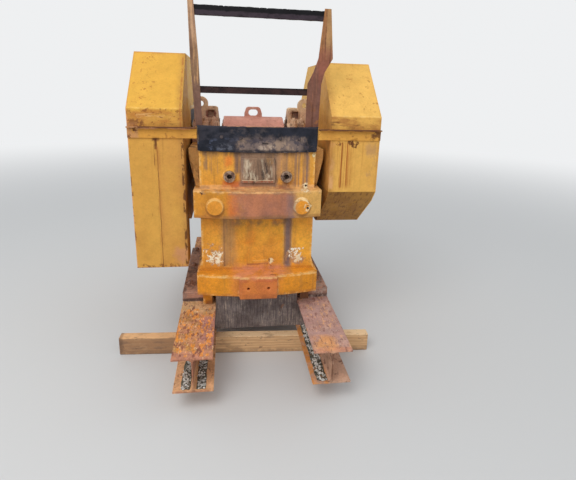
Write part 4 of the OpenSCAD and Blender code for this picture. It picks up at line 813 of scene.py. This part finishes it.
def finishPiece(name, bm, finish, node, stands=(), sharp=40, weighted=True):
    mesh = bpy.data.meshes.new(name)
    bm.to_mesh(mesh)
    bm.free()
    mesh.materials.append(finishes[finish])
    mesh.shade_smooth()
    mesh.set_sharp_from_angle(angle=math.radians(sharp))
    piece = bpy.data.objects.new(name, mesh)
    scene.collection.objects.link(piece)
    if weighted:
        modifier = piece.modifiers.new("faceNormals", "WEIGHTED_NORMAL")
        modifier.keep_sharp = True
    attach(piece, nodeBody[node])
    if stands:
        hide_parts(*stands)
    return piece


def solidOf(node):
    source = frame["nodes"][node]
    bm = bmesh.new()
    bm.from_mesh(source.data)
    bmesh.ops.transform(bm, matrix=source.matrix_world, verts=bm.verts)
    bmesh.ops.remove_doubles(bm, verts=bm.verts, dist=1e-5)
    bmesh.ops.dissolve_limit(bm, angle_limit=math.radians(0.5), verts=bm.verts, edges=bm.edges)
    return bm


def roundEdges(bm, width, segments=2, test=None, angle=25):
    limit = math.radians(angle)
    edges = [edge for edge in bm.edges if len(edge.link_faces) == 2 and edge.calc_face_angle(0) > limit
             and (test is None or test((edge.verts[0].co + edge.verts[1].co) / 2))]
    bmesh.ops.bevel(bm, geom=edges, offset=width, offset_type="OFFSET", segments=segments, profile=0.5,
                    affect="EDGES", clamp_overlap=False, material=-1)


wornWidth = {      # bevel of each solid's edges, in metres
    "beam_left": 0.0025, "beam_right": 0.0025, "cross_plate": 0.0015, "foot_rail_left": 0.003,
    "foot_rail_right": 0.003, "side_wall_left": 0.004, "side_wall_right": 0.004, "rear_wall": 0.004,
    "jaw_washers": 0.002, "fixed_jaw": 0.0015, "cheek_left": 0.002, "cheek_right": 0.002,
    "bearing_cap_left": 0.0015, "bearing_cap_right": 0.0015, "drive_wheel": 0.0025, "flywheel": 0.003,
    "pitman": 0.004, "swing_jaw": 0.0015, "toggle_seat": 0.002, "toggle_block": 0.003, "toggle_plate": 0.002,
    "tension_rod": 0.002, "post_left": 0.001, "post_right": 0.001, "mid_bar": 0.001,
    "guard_left": 0.0015, "guard_right": 0.0015, "guard_left_inner": 0.001, "guard_right_inner": 0.001,
    "belt_drop": 0.0015, "bracket_left": 0.0012, "bracket_right": 0.0012, "bracket_rear_left": 0.0012,
    "bracket_rear_right": 0.0012, "front_wall": 0.0025,
}

castingRound = 0.007
castingY = frontY - 0.026     # the front wall's ribs and bosses stand before it
seamZ = deckZ + 0.795         # where the left guard and the drop box meet
print("Rounding the worn edges")
for node, width in wornWidth.items():
    bm = solidOf(node)
    if node == "front_wall":
        roundEdges(bm, castingRound, segments=3, test=lambda middle: middle.y < castingY)
        roundEdges(bm, width, test=lambda middle: middle.y >= castingY)
    elif node in ("guard_left", "belt_drop"):
        roundEdges(bm, width, test=lambda middle: abs(middle.z - seamZ) > 0.02 or middle.y > frontY)
    else:
        roundEdges(bm, width)
    finishPiece(node + "_worn", bm, nodeFinish[node], node, stands=(node,))


# Timbers with worn edges

def sawnTimber(node):
    bm = solidOf(node)
    roundEdges(bm, 0.005)
    long = [edge for edge in bm.edges if edge.calc_length() > 0.4]
    bmesh.ops.subdivide_edges(bm, edges=long, cuts=56, use_grid_fill=True)
    bm.normal_update()
    for vert in bm.verts:
        ragged = noise.noise(vert.co * Vector((9, 40, 40))) + 0.6 * noise.noise(vert.co * 60)
        vert.co -= vert.normal * (0.0012 + 0.0012 * ragged)
    finishPiece(node + "_sawn", bm, "sawnPine", node, stands=(node,), sharp=50)


sawnTimber("timber_front")
sawnTimber("timber_rear")


# Rubber flap: it hangs a little wavy, with torn edges and a curled corner

flapShape = {
    "columns": 120, "rows": 20, "wave": 0.0022, "sag": 0.010, "dip": 0.006, "torn": 0.0028,
    "curl": 0.012, "boltX": (-0.220, -0.105, 0.014, 0.131, 0.247), "boltZ": (1.104, 1.099, 1.099, 1.098, 1.095),
}


def rubberFlap(shape):
    low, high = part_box("rubber_flap")
    wide, tall, thick = high.x - low.x, high.z - low.z, high.y - low.y
    bm = bmesh.new()
    bmesh.ops.create_grid(bm, x_segments=shape["columns"], y_segments=shape["rows"], size=0.5)
    made = bmesh.ops.extrude_face_region(bm, geom=bm.faces[:])
    back = {item for item in made["geom"] if isinstance(item, bmesh.types.BMVert)}
    for vert in bm.verts:
        u, v = vert.co.x + 0.5, vert.co.y + 0.5
        across = u * 2 - 1
        x = low.x + u * wide
        z = low.z + v * tall
        z -= shape["dip"] * (1 - across * across) * v * v
        z -= shape["sag"] * (1 - across * across) * (1 - v) ** 2
        edge = abs(v * 2 - 1) ** 12
        frayed = noise.noise(Vector((x * 26, v * 9, 2))) + 0.5 * noise.noise(Vector((x * 90, v, 5)))
        z += edge * shape["torn"] * frayed
        x += abs(across) ** 30 * shape["torn"] * noise.noise(Vector((z * 40, across * 3, 1)))
        curl = max(0.0, (u - 0.90) / 0.10) ** 2 * max(0.0, 1 - v * 1.3) ** 1.5
        y = min(shape["wave"] * (noise.noise(Vector((x * 7, z * 9, 0))) - 0.4), 0) - curl * shape["curl"]
        deep = thick * (1 - 0.25 * edge) if vert in back else 0.0
        vert.co = (x - curl * 0.006, low.y + y + deep, z)
    bmesh.ops.recalc_face_normals(bm, faces=bm.faces)
    finishPiece("rubber_flap_sheet", bm, "rubber", "rubber_flap", stands=("rubber_flap",), sharp=60, weighted=False)


rubberFlap(flapShape)


# Fasteners and welds

def turned(axis):
    return Vector(axis).to_track_quat("Z", "Y").to_matrix().to_4x4()


def sweep(bm, outline, step, steps):
    # extrudes a closed outline, capped at both ends, along a straight line
    bmesh.ops.spin(bm, geom=outline, cent=(0, 0, 0), axis=(0, 0, 1), dvec=step, angle=0, steps=steps)


def lathe(bm, points, centre, axis, steps):
    # spins a closed profile a full turn
    verts = [bm.verts.new(point) for point in points]
    edges = [bm.edges.new(pair) for pair in zip(verts, verts[1:] + verts[:1])]
    bmesh.ops.spin(bm, geom=verts + edges, cent=centre, axis=axis, angle=math.tau, steps=steps, use_merge=True)


def addBolt(bm, at, axis, radius, head=None, washer=True, turn=0.0):
    # washer, hexagon head with a chamfered top, on the face at the point given
    head = head or radius * 1.15
    frameOf = Matrix.Translation(at) @ turned(axis) @ Matrix.Rotation(turn, 4, "Z")
    base = 0.0
    if washer:
        base = radius * 0.28
        bmesh.ops.create_cone(bm, cap_ends=True, segments=24, radius1=radius * 1.32, radius2=radius * 1.30,
                              depth=base, matrix=frameOf @ Matrix.Translation((0, 0, base / 2)))
    tall = head * 0.8
    bmesh.ops.create_cone(bm, cap_ends=True, segments=6, radius1=radius, radius2=radius, depth=tall,
                          matrix=frameOf @ Matrix.Translation((0, 0, base + tall / 2)))
    rest = head - tall
    bmesh.ops.create_cone(bm, cap_ends=True, segments=6, radius1=radius, radius2=radius * 0.8, depth=rest,
                          matrix=frameOf @ Matrix.Translation((0, 0, base + tall + rest / 2)))


def boltSet(name, finish, node, places, axis, radius, **shape):
    bm = bmesh.new()
    for number, at in enumerate(places):
        addBolt(bm, at, axis, radius, turn=number * 1.3, **shape)
    finishPiece(name, bm, finish, node, sharp=30)


def weldBeads(name, finish, node, lines, radius=0.004, step=0.0035):
    bm = bmesh.new()
    for start, end in lines:
        start, end = Vector(start), Vector(end)
        count = max(3, int((end - start).length / step))
        stride = (end - start) / count
        older = set(bm.verts)
        ring = bmesh.ops.create_circle(bm, cap_ends=True, segments=6, radius=radius,
                                       matrix=Matrix.Translation(start) @ turned(stride))["verts"]
        cap = ring[0].link_faces[0]
        sweep(bm, [*ring, *cap.edges, cap], stride, count)
        for vert in bm.verts:
            if vert in older:
                continue
            i = round((vert.co - start).dot(stride) / stride.length_squared)
            at = start + stride * i
            ripple = 1 + 0.16 * math.sin(i * 1.9) + 0.25 * noise.noise(at * 120)
            ripple *= min(1, (i + 0.5) / 3, (count - i + 0.5) / 3)
            vert.co = at + (vert.co - at) * ripple
    bmesh.ops.recalc_face_normals(bm, faces=bm.faces)
    finishPiece(name, bm, finish, node, sharp=80, weighted=False)


boltShape = {
    "flap": {"radius": 0.0080, "head": 0.006},
    "side": {"radius": 0.017},
    "rail": {"radius": 0.016},
    "cover": {"radius": 0.009, "head": 0.006, "washer": False},
}
fastening = {
    "wallFace": 0.300, "wallInset": 0.030, "wallBoltZ": (0.33, 0.42, 0.51, 0.60),
    "railX": 0.455, "railInset": 0.12, "postWeld": (0.006, 0.036),
    "plugRadius": 0.016, "plugDepth": 0.003, "plugY": 0.045, "plugZ": 1.166,
    "coverRing": ((0.074, 0.0), (0.074, 0.008), (0.150, 0.008), (0.156, 0.004), (0.156, 0.0)),     # radius, out
    "coverY": 0.068, "coverZ": 1.015, "coverBolts": 8, "coverBoltRing": 0.128, "coverThick": 0.008,
}

print("Adding fasteners and welds")
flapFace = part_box("rubber_flap")[0].y
flapBolts = [spot(x, flapFace - 0.0015, z) for x, z in zip(flapShape["boltX"], flapShape["boltZ"])]
boltSet("flap_bolt_first", "darkBolt", "rubber_flap", flapBolts[:1], (0, -1, 0), **boltShape["flap"])
boltSet("flap_bolts", "darkBolt", "rubber_flap", flapBolts[1:], (0, -1, 0), **boltShape["flap"])

for side, word in ((-1, "left"), (1, "right")):
    wall = "side_wall_" + word
    low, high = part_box(wall)
    outer, inset = side * fastening["wallFace"], fastening["wallInset"]
    boltSet("side_bolts_" + word, "darkSteel", wall,
            [spot(outer, y, z) for y in (high.y - inset, low.y + inset) for z in fastening["wallBoltZ"]],
            (side, 0, 0), **boltShape["side"])
    railY = [low.y + fastening["railInset"], (low.y + high.y) / 2, high.y - fastening["railInset"]]
    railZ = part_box("foot_rail_left")[1].z - deckZ
    boltSet("rail_bolts_" + word, "rustySteel", "foot_rail_" + word,
            [spot(side * fastening["railX"], y, railZ) for y in railY], (0, 0, 1), **boltShape["rail"])
    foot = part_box("post_" + word)[0]
    weldBeads("post_welds_" + word, "postSteel", "post_" + word,
              [[(foot.x + along, foot.y - 0.001, foot.z + 0.002) for along in fastening["postWeld"]]], radius=0.003)
    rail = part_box("foot_rail_" + word)
    edgeX = rail[0].x if side < 0 else rail[1].x
    weldBeads("rail_welds_" + word, "rustySteel", "foot_rail_" + word,
              [((edgeX, rail[0].y + 0.01, rail[0].z + 0.001), (edgeX, rail[1].y - 0.01, rail[0].z + 0.001)),
               ((rail[0].x + 0.01, rail[0].y, rail[0].z + 0.001), (rail[1].x - 0.01, rail[0].y, rail[0].z + 0.001))],
              radius=0.005)
    cap = "bearing_cap_" + word
    capLow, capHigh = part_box(cap)
    # a flat dark disc standing for a hole, its colour painted shade
    bm = bmesh.new()
    innerX = capHigh.x if side < 0 else capLow.x
    middleY = (capLow.y + capHigh.y) / 2
    plugAt = (innerX - side * 0.001, middleY - fastening["plugY"], deckZ + fastening["plugZ"])
    bmesh.ops.create_cone(bm, cap_ends=True, segments=32, radius1=fastening["plugRadius"],
                          radius2=fastening["plugRadius"], depth=fastening["plugDepth"],
                          matrix=Matrix.Translation(plugAt) @ turned((1, 0, 0)))
    finishPiece("cap_hole_shade_" + word, bm, "holeShade", cap, sharp=30)
    # Cover ring with its bolts on the swing jaw's head
    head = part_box("pitman")
    faceX = head[0].x if side < 0 else head[1].x
    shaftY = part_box("eccentric_shaft")[0].y + fastening["coverY"]
    centre = Vector((faceX, shaftY, deckZ + fastening["coverZ"]))
    bm = bmesh.new()
    lathe(bm, [centre + Vector((side * out, radius, 0)) for radius, out in fastening["coverRing"]], centre,
          (1, 0, 0), 64)
    bmesh.ops.recalc_face_normals(bm, faces=bm.faces)
    finishPiece("head_cover_" + word, bm, "primer", "pitman", sharp=35)
    boltSet("head_cover_bolts_" + word, "darkSteel", "pitman",
            [centre + Vector((side * fastening["coverThick"], fastening["coverBoltRing"] * math.cos(angle),
                              fastening["coverBoltRing"] * math.sin(angle)))
             for angle in ((number + 0.5) * math.tau / fastening["coverBolts"]
                           for number in range(fastening["coverBolts"]))],
            (side, 0, 0), **boltShape["cover"])


# Top strip of old conveyor rubber between the posts

stripShape = {
    "section": ((0.0, 0.02), (0.0, 0.5), (0.0, 0.94), (0.25, 1.0), (0.75, 0.97), (1.0, 0.9), (1.0, 0.1), (0.6, 0.0)),
    "steps": 220, "torn": 0.0022, "notch": 0.006, "lump": 0.0015, "drop": 0.002,
}


def rubberStrip(node, shape):
    low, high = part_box(node)
    count = shape["steps"]
    bm = bmesh.new()
    size = high - low
    outline = [bm.verts.new((low.x, low.y + across * size.y, low.z + up * size.z))
               for across, up in shape["section"]]
    face = bm.faces.new(outline)
    sweep(bm, [*outline, *face.edges, face], (size.x / count, 0, 0), count)
    for vert in bm.verts:
        x, y, z = vert.co
        across, up = (y - low.y) / size.y, (z - low.z) / size.z
        notch = max(0, noise.noise(Vector((x * 70, 4, 3))) - 0.15)
        torn = shape["torn"] * noise.noise(Vector((x * 24, 0, 3))) - shape["notch"] * notch
        lump = shape["lump"] * noise.noise(Vector((x * 18, across * 4 + up * 3, 7)))
        vert.co = (x, y + lump, z + (torn if up > 0.8 else 0.3 * torn) - shape["drop"] + lump)
    bmesh.ops.recalc_face_normals(bm, faces=bm.faces)
    finishPiece("top_bar_rubber", bm, "stripRubber", node, stands=(node,), sharp=45, weighted=False)


rubberStrip("top_bar", stripShape)


# Tension spring as one wire

springShape = {"wire": 0.0118, "gap": 0.0005, "seat": 0.012, "bore": 0.038, "turns": 5, "steps": 44, "around": 14}


def coilSpring(node, shape):
    low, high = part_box(node)
    centreX, centreZ = (low.x + high.x) / 2, (low.z + high.z) / 2
    wire, seat, bore = shape["wire"], shape["seat"], shape["bore"]
    outer = (high.x - low.x) / 2
    radius = outer - wire - shape["gap"]
    start, end = low.y + seat + wire, high.y - wire
    bm = bmesh.new()
    # the wire's section, wound round the rod
    bmesh.ops.create_circle(bm, cap_ends=True, segments=shape["around"], radius=wire,
                            matrix=Matrix.Translation((centreX + radius, start, centreZ)))
    total = shape["turns"] * shape["steps"]
    bmesh.ops.spin(bm, geom=bm.verts[:] + bm.edges[:] + bm.faces[:], cent=(centreX, start, centreZ), axis=(0, -1, 0),
                   dvec=(0, (end - start) / total, 0), angle=shape["turns"] * math.tau,
                   steps=total)
    ring = ((low.y, bore), (low.y, outer), (low.y + seat, outer), (low.y + seat, bore))
    lathe(bm, [(centreX + out, y, centreZ) for y, out in ring], (centreX, low.y, centreZ), (0, 1, 0), 48)
    bmesh.ops.recalc_face_normals(bm, faces=bm.faces)
    finishPiece("tension_spring_coil", bm, "rustySteel", node, stands=(node,), sharp=45, weighted=False)


coilSpring("tension_spring", springShape)


# Soil and gravel that lie on the beams' lower flanges

def gravel(name, node, finish, patches, sizes=(0.003, 0.009)):
    bm = bmesh.new()
    for (x0, x1), (y0, y1), z, count in patches:
        for _ in range(count):
            size = sizes[0] + (sizes[1] - sizes[0]) * random.random() ** 2
            x, y = random.uniform(x0, x1), random.uniform(y0, y1)
            # bare patches and a ragged outline
            inside = min(x - x0, x1 - x) / 0.022
            if noise.noise(Vector((x * 34, y * 20, 7))) + min(1, inside) < 0.42:
                continue
            at = Vector((x, y, z + size * 0.35))
            turn = Matrix.Rotation(random.uniform(0, 6), 4, "Z") @ Matrix.Rotation(random.uniform(0, 6), 4, "X")
            shape = Matrix.Diagonal((1, random.uniform(0.6, 0.95), random.uniform(0.5, 0.8), 1))
            bmesh.ops.create_icosphere(bm, subdivisions=1, radius=size, matrix=Matrix.Translation(at) @ turn @ shape)
    finishPiece(name, bm, finish, node, sharp=20, weighted=False)


def soilStrip(name, node, x0, x1, y0, y1, z, depth):
    # a low uneven layer that thins out to its edges
    bm = bmesh.new()
    bmesh.ops.create_grid(bm, x_segments=14, y_segments=110, size=0.5)
    for vert in bm.verts:
        u, v = vert.co.x + 0.5, vert.co.y + 0.5
        x, y = x0 + (x1 - x0) * u, y0 + (y1 - y0) * v
        x += 0.014 * (u - 0.5) * noise.noise(Vector((y * 16, x0 * 40, u * 2)))
        lump = noise.noise(Vector((x * 30, y * 14, 3))) + 0.6 * noise.noise(Vector((x * 90, y * 90, 8)))
        fade = min(1, 5 * u, 5 * (1 - u), 12 * v, 12 * (1 - v))
        vert.co = (x, y, z + (depth * (0.55 + 0.55 * lump) + 0.001) * fade - 0.0008)
    finishPiece(name, bm, "soil", node, sharp=180, weighted=False)


gritShape = {
    "leftStrips": ((-0.070, -0.012), (0.012, 0.070)), "rightStrips": ((-0.084, -0.016),),    # either side of the web
    "flange": 0.011, "perMetre": 7400, "gritRun": (0.012, 0.62), "soilRun": (0.004, 0.64),
    "soilDepth": 0.006, "gritLift": 0.003,
}

print("Scattering grit")
for word in ("left", "right"):
    low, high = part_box("beam_" + word)
    top = low.z + gritShape["flange"]
    centre = (low.x + high.x) / 2
    strips = gritShape[word + "Strips"]
    gritY = [low.y + along for along in gritShape["gritRun"]]
    soilY = [low.y + along for along in gritShape["soilRun"]]
    gravel("beam_grit_" + word, "beam_" + word, "grit",
           [((centre + start, centre + end), gritY, top + gritShape["gritLift"],
             int(gritShape["perMetre"] * (end - start))) for start, end in strips])
    for number, (start, end) in enumerate(strips):
        soilStrip("beam_soil_" + word + "_" + str(number + 1), "beam_" + word, centre + start, centre + end,
                  *soilY, top, gritShape["soilDepth"])

print("Finishing")
